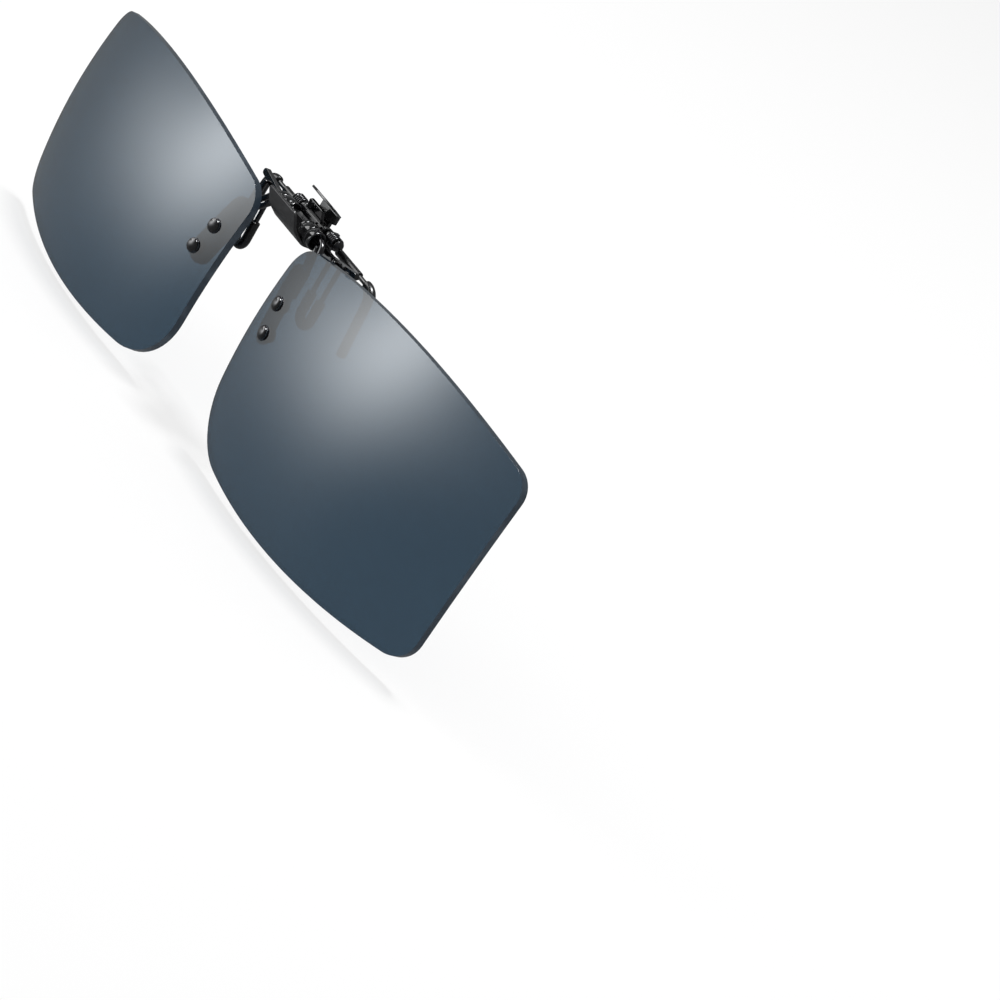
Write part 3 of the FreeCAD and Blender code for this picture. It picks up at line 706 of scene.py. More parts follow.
    def piece(
        self, name: str, materials: Sequence[bpy.types.Material], body: str, slot: Slot, *nodes: str
    ) -> bpy.types.Object:
        """Makes the mesh a finished piece that stands for some nodes.

        Args:
            name: The piece's name.
            materials: Its materials, in the order that its faces number them.
            body: The body that it rides on.
            slot: Not used.
            nodes: The nodes that it stands for.

        Returns:
            The piece.
        """
        bmesh.ops.scale(self.bm, verts=self.bm.verts[:], vec=(METRE,) * 3)
        for face in self.bm.faces:
            face.smooth = True
        mesh = bpy.data.meshes.new(name)
        self.bm.to_mesh(mesh)
        self.bm.free()
        for material in materials:
            mesh.materials.append(material)
        made = bpy.data.objects.new(name, mesh)
        bpy.context.scene.collection.objects.link(made)
        weigh = made.modifiers.new("even_shading", "WEIGHTED_NORMAL")
        weigh.mode, weigh.weight = "FACE_AREA", 60
        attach(made, body)
        if nodes:
            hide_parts(*nodes)
        LOG.info("made %s with %d faces", name, len(mesh.polygons))
        return made

    def pair(
        self, name: str, materials: Sequence[bpy.types.Material], body: str, slot: Slot, node: str
    ) -> None:
        """Makes a piece of the mesh, which lies at +X, and another of its mirror image.

        Args:
            name: Their name, without the side.
            materials: Their materials.
            body: The body that they ride on.
            slot: The material slot of their finish.
            node: The node that they stand for, without the side.
        """
        for side, sign in SIDES.items():
            copy = self.copied() if sign > 0 else self.copied().flipped()
            copy.piece(f"{side}_{name}", materials, body, slot, f"{side}_{node}")


class Outline:
    """A closed line in the XZ plane, drawn run by run, anticlockwise from the front."""

    def __init__(self, x: float, z: float) -> None:
        """Starts at a point.

        Args:
            x: Across.
            z: Up.
        """
        self.blank = Blank()
        self.tip = self.blank.bm.verts.new((x, 0, z))

    def line(self, *points: tuple[float, float]) -> "Outline":
        """Draws straight on to each point.

        Args:
            points: The points, across and up.

        Returns:
            This outline.
        """
        for x, z in points:
            grown = bmesh.ops.extrude_vert_indiv(self.blank.bm, verts=[self.tip])
            self.tip = grown["verts"][0]
            self.tip.co = (x, 0, z)
        return self

    def arc(self, x: float, z: float, degrees: float, steps: int) -> "Outline":
        """Draws an arc round a centre.

        Args:
            x: The centre, across.
            z: The centre, up.
            degrees: How far it turns, anticlockwise.
            steps: How many runs it has.

        Returns:
            This outline.
        """
        grown = bmesh.ops.spin(
            self.blank.bm, geom=[self.tip], cent=(x, 0, z), axis=-Y, dvec=(0, 0, 0),
            angle=math.radians(degrees), steps=steps, use_merge=False, use_normal_flip=False,
            use_duplicate=False,
        )
        self.tip = [g for g in grown["geom_last"] if isinstance(g, bmesh.types.BMVert)][0]
        return self

    def filled(self) -> Blank:
        """Closes the line and fills it.

        Returns:
            A blank with one flat face.
        """
        bm = self.blank.bm
        bmesh.ops.remove_doubles(bm, verts=bm.verts[:], dist=2e-3)
        loose = [v for v in bm.verts if len(v.link_edges) == 1]
        if len(loose) == 2:
            bmesh.ops.contextual_create(bm, geom=loose)
        bmesh.ops.edgeloop_fill(bm, edges=bm.edges[:])
        return self.blank


class Wire:
    """Round wire or tube, drawn straight and bent as on a bench."""

    def __init__(self, radius: float, start: Vector, along: Vector, sides: int = 20) -> None:
        """Starts with an open ring.

        Args:
            radius: The wire's radius.
            start: Where it starts.
            along: Which way it sets off.
            sides: How many faces it has round it.
        """
        self.blank = Blank()
        self.at, self.along = start.copy(), along.normalized()
        made = bmesh.ops.create_circle(self.blank.bm, cap_ends=False, radius=radius, segments=sides)
        self.blank.aimed(self.at, self.along)
        self.ring = list({e for v in made["verts"] for e in v.link_edges})
        self.first = list(self.ring)

    def straight(self, length: float) -> "Wire":
        """Runs on straight.

        Args:
            length: How far.

        Returns:
            This wire.
        """
        if length < 1e-6:
            return self
        grown = bmesh.ops.extrude_edge_only(self.blank.bm, edges=self.ring)["geom"]
        verts = [g for g in grown if isinstance(g, bmesh.types.BMVert)]
        bmesh.ops.translate(self.blank.bm, verts=verts, vec=self.along * length)
        self.ring = [g for g in grown if isinstance(g, bmesh.types.BMEdge)]
        self.at = self.at + self.along * length
        return self

    def bend(
        self, towards: Vector, radius: float, angle: float, steps: int = 10, rise: float = 0.0
    ) -> "Wire":
        """Turns about a centre beside it.

        Args:
            towards: Which way the centre lies.
            radius: How far away the centre is.
            angle: How far it turns, in radians.
            steps: How many runs the turn has.
            rise: How far it climbs along the turn's axis in all.

        Returns:
            This wire.
        """
        towards = (towards - self.along * towards.dot(self.along)).normalized()
        axis = self.along.cross(towards).normalized()
        centre = self.at + towards * radius
        verts = list({v for e in self.ring for v in e.verts})
        grown = bmesh.ops.spin(
            self.blank.bm, geom=verts + self.ring, cent=centre, axis=axis, dvec=axis * rise / steps,
            angle=angle, steps=steps, use_merge=False, use_normal_flip=False, use_duplicate=False,
        )
        self.ring = [g for g in grown["geom_last"] if isinstance(g, bmesh.types.BMEdge)]
        turn = Matrix.Rotation(angle, 3, axis)
        self.at = centre + turn @ (self.at - centre) + axis * rise
        self.along = turn @ self.along
        return self

    def through(self, points: Sequence[Vector], radii: Sequence[float]) -> "Wire":
        """Follows corners, each rounded.

        Args:
            points: The corners after the start, and the end.
            radii: The bend's radius at each corner.

        Returns:
            This wire.
        """
        for i, point in enumerate(points):
            run = (point - self.at).length
            if i < len(radii):
                onward = (points[i + 1] - point).normalized()
                angle = self.along.angle(onward)
                setback = radii[i] * math.tan(angle / 2)
                self.straight(run - setback)
                self.bend(onward, radii[i], angle)
            else:
                self.straight(run)
        return self

    def capped(self, round_off: float) -> Blank:
        """Closes both ends and rounds them.

        Args:
            round_off: How far the rounding reaches.

        Returns:
            The solid wire.
        """
        for ring in (self.first, self.ring):
            bmesh.ops.edgeloop_fill(self.blank.bm, edges=ring)
        self.blank.cleaned()
        return self.blank.softened(round_off, 3, SHARP)

    def walled(self, wall: float, round_off: float) -> Blank:
        """Makes it a tube with a wall.

        Args:
            wall: The wall's thickness, inwards.
            round_off: How far the rounding of its ends reaches.

        Returns:
            The tube.
        """
        bm = self.blank.bm
        bmesh.ops.recalc_face_normals(bm, faces=bm.faces[:])
        bmesh.ops.solidify(bm, geom=bm.faces[:], thickness=wall)
        bmesh.ops.recalc_face_normals(bm, faces=bm.faces[:])
        return self.blank.softened(round_off, 2, SHARP)


def box_of(node: str) -> tuple[Vector, Vector]:
    """A node's lowest and highest corners, in millimetres."""
    low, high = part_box(node)
    return low / METRE, high / METRE


def middle(low: Vector, high: Vector) -> Vector:
    """The point half way between two."""
    return (low + high) / 2


def upright(edge: bmesh.types.BMEdge) -> bool:
    """Whether an edge runs straight through a flat sheet, from its front to its rear face."""
    first, second = (v.co for v in edge.verts)
    return abs(first.x - second.x) < SAME and abs(first.z - second.z) < SAME


def dome(radius: float, high: float, foot: float, last: int, step: int) -> list[tuple[float, float]]:
    """The profile of a domed head, from its crown down.

    Args:
        radius: The head's radius.
        high: How high the dome stands.
        foot: Where the dome would meet its widest ring.
        last: How far round it is drawn, in degrees from the crown.
        step: The degrees between two of its points.

    Returns:
        Radius and height of each point.
    """
    turns = (math.radians(a) for a in range(0, last + 1, step))
    return [(radius * math.sin(t), foot - high * math.cos(t)) for t in turns]


# ---------------------------------------------------------------- the lens set
@dataclass
class LensFrame:
    """Where the lens at +X lies, and the sphere that its front follows."""

    curve: float = 92.5
    thick: float = 1.1
    wrap: float = 5.35
    centre: tuple[float, float, float] = (37.5, -8.8, -8.0)
    rivets: tuple[tuple[float, float], ...] = ((-26.5, 5.7), (-25.3, 1.45))

    def place(self) -> Matrix:
        """Takes a piece modelled square to the lens to where the lens lies."""
        return Matrix.Translation(self.centre) @ Matrix.Rotation(math.radians(self.wrap), 4, "Z")

    def point(self, across: float, up: float, depth: float) -> Vector:
        """A point at a depth behind the front face.

        Args:
            across: Outwards from the lens's middle.
            up: Above it.
            depth: How far behind the face, square to it.

        Returns:
            The point, in the row frame.
        """
        ball = Vector((0, self.curve, 0))
        face = Vector((across, self.curve - math.sqrt(self.curve**2 - across**2 - up**2), up))
        return self.place() @ (face + (ball - face).normalized() * depth)

    def inward(self, across: float, up: float) -> Vector:
        """The direction into the lens, square to its face."""
        return (self.point(across, up, 1) - self.point(across, up, 0)).normalized()


@dataclass
class Lenses:
    """The two tinted lenses, with polished rims."""

    seat: LensFrame
    half_top: float = 29.7
    shift: float = 0.4
    low_inset: float = 1.5
    top_nose: float = 13.6
    top_outer: float = 14.0
    low_nose: float = 17.0
    low_outer: float = 16.2
    bows: tuple[float, ...] = (166.0, 150.0, 119.0, 240.0)
    rounds: tuple[float, ...] = (10.5, 5.0, 3.8, 4.6)
    rim_round: float = 0.2
    rim_lean: float = 0.55
    cell: float = 1.5

    def corners(self) -> list[Vector]:
        """The sharp corners, anticlockwise from low at the nose.

        Returns:
            Each corner, across and up.
        """
        wide, low = self.half_top, self.half_top - self.low_inset
        ups = (-self.low_nose, -self.low_outer, self.top_outer, self.top_nose)
        return [Vector((x - self.shift, z)) for x, z in zip((-low, low, wide, -wide), ups)]

    def bow_centres(self) -> list[Vector]:
        """The middles of the circles that the four edges follow.

        Returns:
            Each edge's middle, from the lowest edge on.
        """
        corners, found = self.corners(), []
        for i, radius in enumerate(self.bows):
            start, end = corners[i], corners[(i + 1) % 4]
            chord = end - start
            inward = Vector((-chord.y, chord.x)).normalized()
            found.append((start + end) / 2 + inward * math.sqrt(radius**2 - (chord.length / 2) ** 2))
        return found

    def round_centres(self) -> list[Vector]:
        """The middles of the corner arcs, which touch the edges on both sides.

        Returns:
            Each corner's middle.
        """
        corners, bows, found = self.corners(), self.bow_centres(), []
        for i, radius in enumerate(self.rounds):
            first, second = bows[i - 1], bows[i]
            a, b = self.bows[i - 1] - radius, self.bows[i] - radius
            apart = second - first
            run = (a * a - b * b + apart.length_squared) / (2 * apart.length)
            off = math.sqrt(a * a - run * run)
            unit = apart.normalized()
            side = Vector((-unit.y, unit.x))
            one, other = (first + unit * run + side * off * s for s in (1, -1))
            nearer = (one - corners[i]).length < (other - corners[i]).length
            found.append(one if nearer else other)
        return found

    def outline(self) -> Blank:
        """The lens's edge, drawn arc by arc and filled.

        Returns:
            One flat face.
        """
        bows, rounds = self.bow_centres(), self.round_centres()

        def touch(edge: int, corner: int) -> Vector:
            """Where an edge meets a corner's arc."""
            way = (rounds[corner] - bows[edge]).normalized()
            return bows[edge] + way * self.bows[edge]

        def turn(centre: Vector, start: Vector, end: Vector) -> float:
            """How far an arc turns, in degrees, anticlockwise."""
            a, b = start - centre, end - centre
            return math.degrees(math.atan2(a.x * b.y - a.y * b.x, a.dot(b)))

        start = touch(0, 0)
        line = Outline(start.x, start.y)
        for i in range(4):
            after = (i + 1) % 4
            first, last = touch(i, i), touch(i, after)
            line.arc(*bows[i], turn(bows[i], first, last), 28)
            line.arc(*rounds[after], turn(rounds[after], last, touch(after, after)), 14)
        return line.filled()

    def build(self, shop: Workshop) -> None:
        """Makes both lenses.

        Args:
            shop: Where their materials come from.
        """
        lens = self.outline().gridded(self.cell)
        lens.domed(self.seat.curve, self.seat.curve)
        lens.raised(0.0, self.seat.thick)
        lens.softened(self.rim_round, 3, SHARP)
        ball = Vector((0, self.seat.curve, 0))
        for face in lens.bm.faces:
            outward = (face.calc_center_median() - ball).normalized()
            face.material_index = 1 if abs(face.normal.dot(outward)) < self.rim_lean else 0
        lens.moved(self.seat.place())
        lens.pair("lens_blank", [shop.materials[Slot.LENS], shop.rim], "lens_set", Slot.LENS, "lens")


@dataclass
class Rivets:
    """Domed rivets with clear bushes in front of the lens, and caps behind the bracket."""

    seat: LensFrame
    head: float = 1.05
    dome: float = 0.42
    skirt: float = 0.1
    shank: float = 0.49
    flange: float = 1.15
    flange_thick: float = 0.15
    wall: float = 0.3
    play: float = 0.01
    cap: float = 1.0
    cap_thick: float = 0.5
    behind: float = 1.74

    def heads(self) -> Blank:
        """One rivet: a flattened dome with a short straight edge, on its shank.

        Returns:
            The rivet, standing on the lens's face.
        """
        crown = dome(self.head, self.dome, -self.flange_thick - self.skirt, 90, 9)
        end = self.behind + self.cap_thick
        rest = [
            (self.head, -self.flange_thick - 0.03),
            (self.head - 0.05, -self.flange_thick),
            (self.shank, -self.flange_thick),
            (self.shank, end - 0.06),
            (self.shank - 0.08, end),
            (0.0, end),
        ]
        return Blank().turned(crown + rest)

    def bush(self) -> Blank:
        """One bush: a thin flange under the rivet's head and a sleeve in the lens's hole.

        Returns:
            The bush.
        """
        out, thin = self.flange, self.flange_thick
        bore, sleeve = self.shank + self.play, self.shank + self.wall
        profile = [
            (bore, -thin), (out - 0.05, -thin), (out, -thin * 0.6), (out, -0.02), (out - 0.03, 0.0),
            (sleeve, 0.0), (sleeve, self.seat.thick), (bore, self.seat.thick), (bore, -thin),
        ]
        return Blank().turned(profile)

    def rear_cap(self) -> Blank:
        """One cap, pressed onto the rivet's end, with a dished back.

        Returns:
            The cap.
        """
        wide, thick, bore = self.cap, self.cap_thick, self.shank + self.play
        profile = [
            (bore, 0.0), (wide - 0.04, 0.0), (wide, 0.05), (wide, thick * 0.5),
            (wide * 0.95, thick * 0.72), (wide * 0.85, thick * 0.92), (wide * 0.72, thick),
            (self.shank + 0.12, thick), (bore, thick * 0.8), (bore, 0.0),
        ]
        return Blank().turned(profile)

    def build(self, shop: Workshop) -> None:
        """Makes the rivets, bushes and caps of both lenses.

        Args:
            shop: Where their materials come from.
        """
        sorts = (
            ("rivet_heads", self.heads(), 0.0, Slot.RIVET, "lens_rivets"),
            ("bush_flanges", self.bush(), 0.0, Slot.BUSH, "rivet_bushes"),
            ("rear_caps", self.rear_cap(), self.behind, Slot.RIVET, "rivet_caps"),
        )
        for name, single, depth, slot, node in sorts:
            both = Blank()
            for across, up in self.seat.rivets:
                at, way = self.seat.point(across, up, depth), self.seat.inward(across, up)
                both.joined(single.copied().aimed(at, way))
            both.pair(name, [shop.materials[slot]], "lens_set", slot, node)


@dataclass
class Brackets:
    """Curved plates behind the lenses' nose edges, with the neck wires soldered to their backs."""

    seat: LensFrame
    thick: float = 0.6
    gap: float = 0.02
    half: float = 1.95
    low: tuple[float, float] = (-25.9, 1.5)
    top: tuple[float, float] = (-27.6, 9.6)
    edge: float = 0.14
    wire: float = 0.42
    wires_apart: float = 0.96
    bend: float = 1.3
    reach: float = 1.65
    landing: float = 10.6
    end: float = 7.3
    inside: float = 0.45
    cell: float = 0.9
    tip_round: float = 0.16

    def plate(self) -> Blank:
        """One bracket: a round-ended strip bent to the back of the lens.

        Returns:
            The bracket.
        """
        low, top = Vector(self.low), Vector(self.top)
        along = (top - low).normalized()
        side = Vector((along.y, -along.x)) * self.half
        line = Outline(*(low + side)).line(tuple(top + side)).arc(*top, 180, 20)
        line.line(tuple(low - side)).arc(*low, 180, 20)
        strip = line.filled().gridded(self.cell)
        strip.domed(self.seat.curve - self.seat.thick - self.gap, self.seat.curve)
        strip.raised(0.0, self.thick).softened(self.edge, 3, SHARP)
        return strip.moved(self.seat.place())

    def necks(self) -> Blank:
        """The two wires of one side, round the bend from the barrel's mouth to the bracket's back.

        Returns:
            Both wires.
        """
        lean = (self.top[0] - self.low[0]) / (self.top[1] - self.low[1])
        behind = self.seat.thick + self.thick + 2 * self.gap + self.wire
        low, high = box_of("right_neck_ferrule")
        centre = middle(low, high)
        mouth = Vector((low.x + self.inside, centre.y, centre.z))
        both = Blank()
        for side in (1, -1):
            shift = side * self.wires_apart / 2

            def landing(up: float) -> Vector:
                """Where this wire lies on the bracket's back at a height."""
                across = self.low[0] + lean * (up - self.low[1]) + shift
                return self.seat.point(across, up, behind)

            start = mouth + Z * shift
            corner = start + X * (self.reach + shift)
            wire = Wire(self.wire, start, X)
            ends = [corner, landing(self.landing), landing(self.end)]
            wire.through(ends, [self.bend + shift, self.bend])
            both.joined(wire.capped(self.tip_round))
        return both

    def build(self, shop: Workshop) -> None:
        """Makes both brackets and all four wires.

        Args:
            shop: Where their materials come from.
        """
        for name, shape, slot, node in (
            ("bracket_plate", self.plate(), Slot.BRACKET, "lens_bracket"),
            ("neck_bends", self.necks(), Slot.NECK, "neck_wires"),
        ):
            shape.pair(name, [shop.materials[slot]], "lens_set", slot, node)


# ---------------------------------------------------------------- the hinge
@dataclass
class Hinge:
    """Knuckles, washers and open-mouthed ferrules on the flip axis."""

    knuckle: float = 1.5
    bore: float = 0.85
    groove: float = 0.07
    ferrule: float = 1.45
    wall: float = 0.35
    floor: float = 0.45
    bevel: float = 0.06
    steps: int = 56

    def knuckle_profile(self, long: float) -> list[tuple[float, float]]:
        """A knuckle with rounded ends and a turned groove near the middle of the clip.

        Args:
            long: Its length.

        Returns:
            Radius and height of each point.
        """
        out, low = self.knuckle, self.knuckle - self.groove
        return [
            (self.bore, 0.0), (out - 0.14, 0.0), (out - 0.04, 0.05), (out, 0.14), (out, 0.5),
            (low, 0.58), (low, 0.74), (out, 0.82), (out, long - 0.14),
            (out - 0.04, long - 0.05), (out - 0.14, long), (self.bore, long), (self.bore, 0.0),
        ]

    def washer_profile(self, long: float) -> list[tuple[float, float]]:
        """A washer with bevelled rims.

        Args:
            long: Its thickness.

        Returns:
            Radius and height of each point.
        """
        out, bevel = self.ferrule, self.bevel
        return [
            (self.bore, 0.0), (out - bevel, 0.0), (out, bevel), (out, long - bevel),
            (out - bevel, long), (self.bore, long), (self.bore, 0.0),
        ]

    def ferrule_profile(self, long: float) -> list[tuple[float, float]]:
        """A ferrule closed at its inner end, with a rounded lip round its mouth.

        Args:
            long: Its length.

        Returns:
            Radius and height of each point.
        """
        out, inner, floor = self.ferrule, self.ferrule - self.wall, self.floor
        return [
            (0.0, 0.0), (out - 0.12, 0.0), (out - 0.03, 0.05), (out, 0.13), (out, long - 0.16),
            (out - 0.04, long - 0.05), (out - 0.13, long), (inner + 0.1, long),
            (inner + 0.02, long - 0.05), (inner, long - 0.12), (inner, floor + 0.12),
            (inner - 0.12, floor), (0.0, floor),
        ]

    def build(self, shop: Workshop) -> None:
        """Makes the turned pieces of both sides, and dresses the axle and its detent leaf.

        Args:
            shop: Where their materials come from.
        """
        for node, profile, body, slot in (
            ("hinge_knuckle", self.knuckle_profile, "clip", Slot.BARREL),
            ("friction_washer", self.washer_profile, "lens_set", Slot.NYLON),
            ("neck_ferrule", self.ferrule_profile, "lens_set", Slot.BARREL),
        ):
            low, high = box_of(f"right_{node}")
            centre = middle(low, high)
            ring = Blank().turned(profile(high.x - low.x), self.steps)
            ring.aimed(Vector((low.x, centre.y, centre.z)), X)
            ring.pair(f"{node}_turned", [shop.materials[slot]], body, slot, node)
        for node, slot in KEPT_NODES.items():
            shop.dress_node(node, slot)


@dataclass
class Cover:
    """The charcoal sheet in front of the barrels, folded twice."""

    sheet: float = 0.45
    top: tuple[float, float] = (-7.86, 8.55)
    fold: tuple[float, float] = (-6.3, 6.0)
    heel: float = -3.9
    lip: float = 4.4
    lip_end: float = -1.7
    fold_round: float = 0.55
    corner_round: float = 0.7
    crest: float = 0.6
    edge: float = 0.1

    def outside(self) -> list[Vector]:
        """The corners of the sheet's outer face, from the side, top first."""
        ends = (self.top, self.fold, (self.heel, self.lip), (self.lip_end, self.lip))
        return [Vector(p) for p in ends]

    def inside(self) -> list[Vector]:
        """The outer corners moved inwards by the sheet's thickness.

        Returns:
            The corners, top first.
        """
        line = self.outside()
        ways = [(b - a).normalized() for a, b in zip(line, line[1:])]
        lefts = [Vector((-w.y, w.x)) for w in ways]
        moved = [line[0] + lefts[0] * self.sheet]
        for corner, before, after in zip(line[1:], lefts, lefts[1:]):
            between = (before + after).normalized()
            moved.append(corner + between * (self.sheet / between.dot(before)))
        return moved + [line[-1] + lefts[-1] * self.sheet]

    def build(self, shop: Workshop) -> None:
        """Makes the cover.

        Args:
            shop: Where its material comes from.
        """
        low, high = box_of("front_cover")
        blank = Blank()
        corners = self.outside() + self.inside()[::-1]
        ring = blank.chain((low.x, y, z) for y, z in corners)
        bmesh.ops.contextual_create(blank.bm, geom=[ring[0], ring[-1]])
        bmesh.ops.edgeloop_fill(blank.bm, edges=blank.bm.edges[:])
        grown = bmesh.ops.extrude_face_region(blank.bm, geom=blank.bm.faces[:])["geom"]
        verts = [g for g in grown if isinstance(g, bmesh.types.BMVert)]
        bmesh.ops.translate(blank.bm, verts=verts, vec=(high.x - low.x, 0, 0))
        blank.cleaned()
        crest = max(v.co.z for v in blank.bm.verts) - self.crest

        def run(edge: bmesh.types.BMEdge) -> float:
            """How far an edge runs across the cover."""
            return abs(edge.verts[0].co.x - edge.verts[1].co.x)

        def upper_corner(edge: bmesh.types.BMEdge) -> bool:
            """Whether an edge runs through the sheet at one of the cover's upper corners."""
            short = run(edge) < SAME and edge.calc_length() < self.crest
            return short and edge.verts[0].co.z > crest

        def folded(edge: bmesh.types.BMEdge) -> bool:
            """Whether an edge is one of the folds."""
            wide = run(edge) > (high.x - low.x) / 2
            return wide and edge.calc_face_angle(0) < math.radians(70)

        blank.softened(self.corner_round, 5, SHARP, upper_corner)
        blank.softened(self.fold_round, 4, 8.0, folded)
        blank.softened(self.edge, 3, SHARP)
        paint = [shop.materials[Slot.COVER]]
        blank.piece("front_cover_sheet", paint, "clip", Slot.COVER, "front_cover")


# ---------------------------------------------------------------- jaws
@dataclass
class Jaws:
    """The front and rear stampings, with their ears, arms and finger tabs."""

    pivot_y: float = -0.3
    pivot_z: float = 7.1
    front_near: float = -1.7
    front_sheet: float = 0.8
    half: float = 3.6
    foot: float = 4.3
    top: float = 7.8
    elbow: float = 8.0
    reach: float = 14.6
    root: tuple[float, float] = (5.45, 0.6)
    tip: tuple[float, float] = (6.6, 0.5)
    tab_half: float = 2.3
    tab_long: float = 1.9
    tab_sheet: float = 0.5
    tab_lean: float = 20.0
    ear_half: float = 0.85
    front_ear: tuple[float, float] = (2.9, 3.6)
    rear_ear: tuple[float, float] = (3.75, 4.45)
    rear_near: float = 0.24
    rear_sheet: float = 0.7
    bar: tuple[float, float] = (4.9, 6.3)
    stem: float = 1.5
    stem_top: float = 8.1
    fan_root: float = 2.4
    fan_fold: float = 9.75
    fan_tip: float = 3.75
    fan_long: float = 2.4
    fan_sheet: float = 0.35
    fan_lean: float = 66.0
    edge: float = 0.12
    corner: float = 0.35
    inset: float = 0.02
    corners_within: float = 13.0
    tab_taper: float = 0.9
    lap: float = 0.1
    flare: float = 0.25

    def ear(self, near_x: float, far_x: float, y: float) -> Blank:
        """One ear across the jaw pin.

        Args:
            near_x: Its inner face.
            far_x: Its outer face.
            y: Where it leaves its plate.

        Returns:
            The ear, at +X.
        """
        forward = y < self.pivot_y
        reach = self.pivot_y - y if forward else y - self.pivot_y
        line = Outline(-reach, -self.ear_half).line((0, -self.ear_half)).arc(0, 0, 180, 18)
        plate = line.line((-reach, self.ear_half)).filled().raised(0.0, far_x - near_x)
        plate.softened(self.edge, 3, SHARP)
        turn = Matrix.Rotation(math.radians(90 if forward else -90), 4, "Z")
        shift = far_x if forward else near_x
        return plate.moved(Matrix.Translation((shift, self.pivot_y, self.pivot_z)) @ turn)

    def both_sides(self, shape: Blank) -> list[Blank]:
        """A shape and its mirror image."""
        return [shape.copied(), shape.copied().flipped()]

    def leaned(self, tab: Blank, y: float, z: float, degrees: float) -> Blank:
        """Leans an upright tab forwards about its foot, and puts it on its jaw.

        Args:
            tab: The tab, standing on the origin.
            y: Where its foot goes, front to back.
            z: Where its foot goes, up.
            degrees: How far it leans.

        Returns:
            The tab.
        """
        lean = Matrix.Rotation(math.radians(degrees), 4, "X")
        return tab.moved(Matrix.Translation((0, y, z)) @ lean)

    def front_plate(self) -> Blank:
        """The front jaw's plate, with an arm that tapers to a round end on each side.

        Returns:
            The plate.
        """
        (mid, thick), (high, thin) = self.root, self.tip
        wide, elbow, end = self.half, self.elbow, self.reach - self.inset
        line = Outline(-wide, self.foot)
        line.line((wide, self.foot), (wide, mid - thick), (elbow, mid - thick), (end, high - thin))
        line.arc(end, high, 180, 14)
        line.line((elbow, mid + thick), (wide, mid + thick), (wide, self.top))
        line.line((-wide, self.top), (-wide, mid + thick), (-elbow, mid + thick), (-end, high + thin))
        line.arc(-end, high, 180, 14)
        line.line((-elbow, mid - thick), (-wide, mid - thick))
        plate = line.filled().raised(self.front_near, self.front_near + self.front_sheet)

        def inner_corner(edge: bmesh.types.BMEdge) -> bool:
            """Whether an edge is a corner of the plate or an elbow, and not an arm's round end."""
            return upright(edge) and abs(edge.verts[0].co.x) < self.corners_within

        plate.softened(self.corner, 4, 20.0, inner_corner)
        return plate.softened(self.edge, 3, SHARP)

    def front(self) -> Blank:
        """The front stamping: its plate, a short tab and two ears.

        Returns:
            The stamping.
        """
        middle_y = self.front_near + self.front_sheet / 2
        wide, foot = self.tab_half, -self.front_sheet / 2
        narrow = wide * self.tab_taper
        line = Outline(-wide, foot).line((wide, foot), (narrow, self.tab_long), (-narrow, self.tab_long))
        tab = line.filled().raised(-self.tab_sheet / 2, self.tab_sheet / 2)

        def top_corner(edge: bmesh.types.BMEdge) -> bool:
            """Whether an edge is one of the tab's upper corners."""
            return upright(edge) and edge.verts[0].co.z > 0

        tab.softened(0.5, 5, SHARP, top_corner)
        tab.softened(0.1, 3, SHARP)
        self.leaned(tab, middle_y, self.top, self.tab_lean)
        ears = self.both_sides(self.ear(*self.front_ear, middle_y))
        return self.front_plate().joined(tab, *ears)

    def rear_fan(self) -> Blank:
        """The rear jaw's finger tab: a fan with a bowed tip, folded forwards.

        Returns:
            The fan.
        """
        root, tip, long = self.fan_root, self.fan_tip, self.fan_long
        bow = tip * 2
        drop = math.sqrt(bow**2 - tip**2)
        sweep = 2 * math.degrees(math.asin(tip / bow))
        foot = -self.rear_sheet / 2
        line = Outline(-root, foot).line((root, foot), (tip, long)).arc(0, long - drop, sweep, 16)
        fan = line.filled().raised(-self.fan_sheet / 2, self.fan_sheet / 2)

        def tip_corner(edge: bmesh.types.BMEdge) -> bool:
            """Whether an edge is one of the fan's outer corners."""
            return upright(edge) and edge.verts[0].co.z > 1

        fan.softened(0.3, 4, 30.0, tip_corner)
        fan.softened(0.08, 3, SHARP)
        return self.leaned(fan, self.rear_near + self.rear_sheet / 2, self.fan_fold, self.fan_lean)

    def rear(self) -> Blank:
        """The rear stamping: a bar with two ears, and a stem that ends in the fan.

        Returns:
            The stamping.
        """
        near, far = self.rear_near, self.rear_near + self.rear_sheet
        wide = self.rear_ear[1]
        low, high = self.bar
        bar = Outline(-wide, low).line((wide, low), (wide, high), (-wide, high)).filled()
        bar.raised(near, far).softened(self.edge, 3, SHARP)
        stem, top, root = self.stem, self.stem_top, self.fan_root
        line = Outline(-stem, low + self.lap).line((stem, low + self.lap), (stem, top))
        line.line((root, top + self.flare), (root, self.fan_fold), (-root, self.fan_fold))
        line.line((-root, top + self.flare), (-stem, top))
        post = line.filled().raised(near, far)
        post.softened(self.edge, 3, 40.0)
        ears = self.both_sides(self.ear(*self.rear_ear, far - self.lap / 2))
        return bar.joined(post, self.rear_fan(), *ears)

    def build(self, shop: Workshop) -> None:
        """Makes both jaws.

        Args:
            shop: Where their materials come from.
        """
        for name, shape, body, slot, node in (
            ("front_jaw_stamping", self.front(), "clip", Slot.FRONT_JAW, "front_jaw"),
            ("rear_jaw_stamping", self.rear(), "rear_clamp", Slot.REAR_JAW, "rear_jaw"),
        ):
            shape.piece(name, [shop.materials[slot]], body, slot, node)


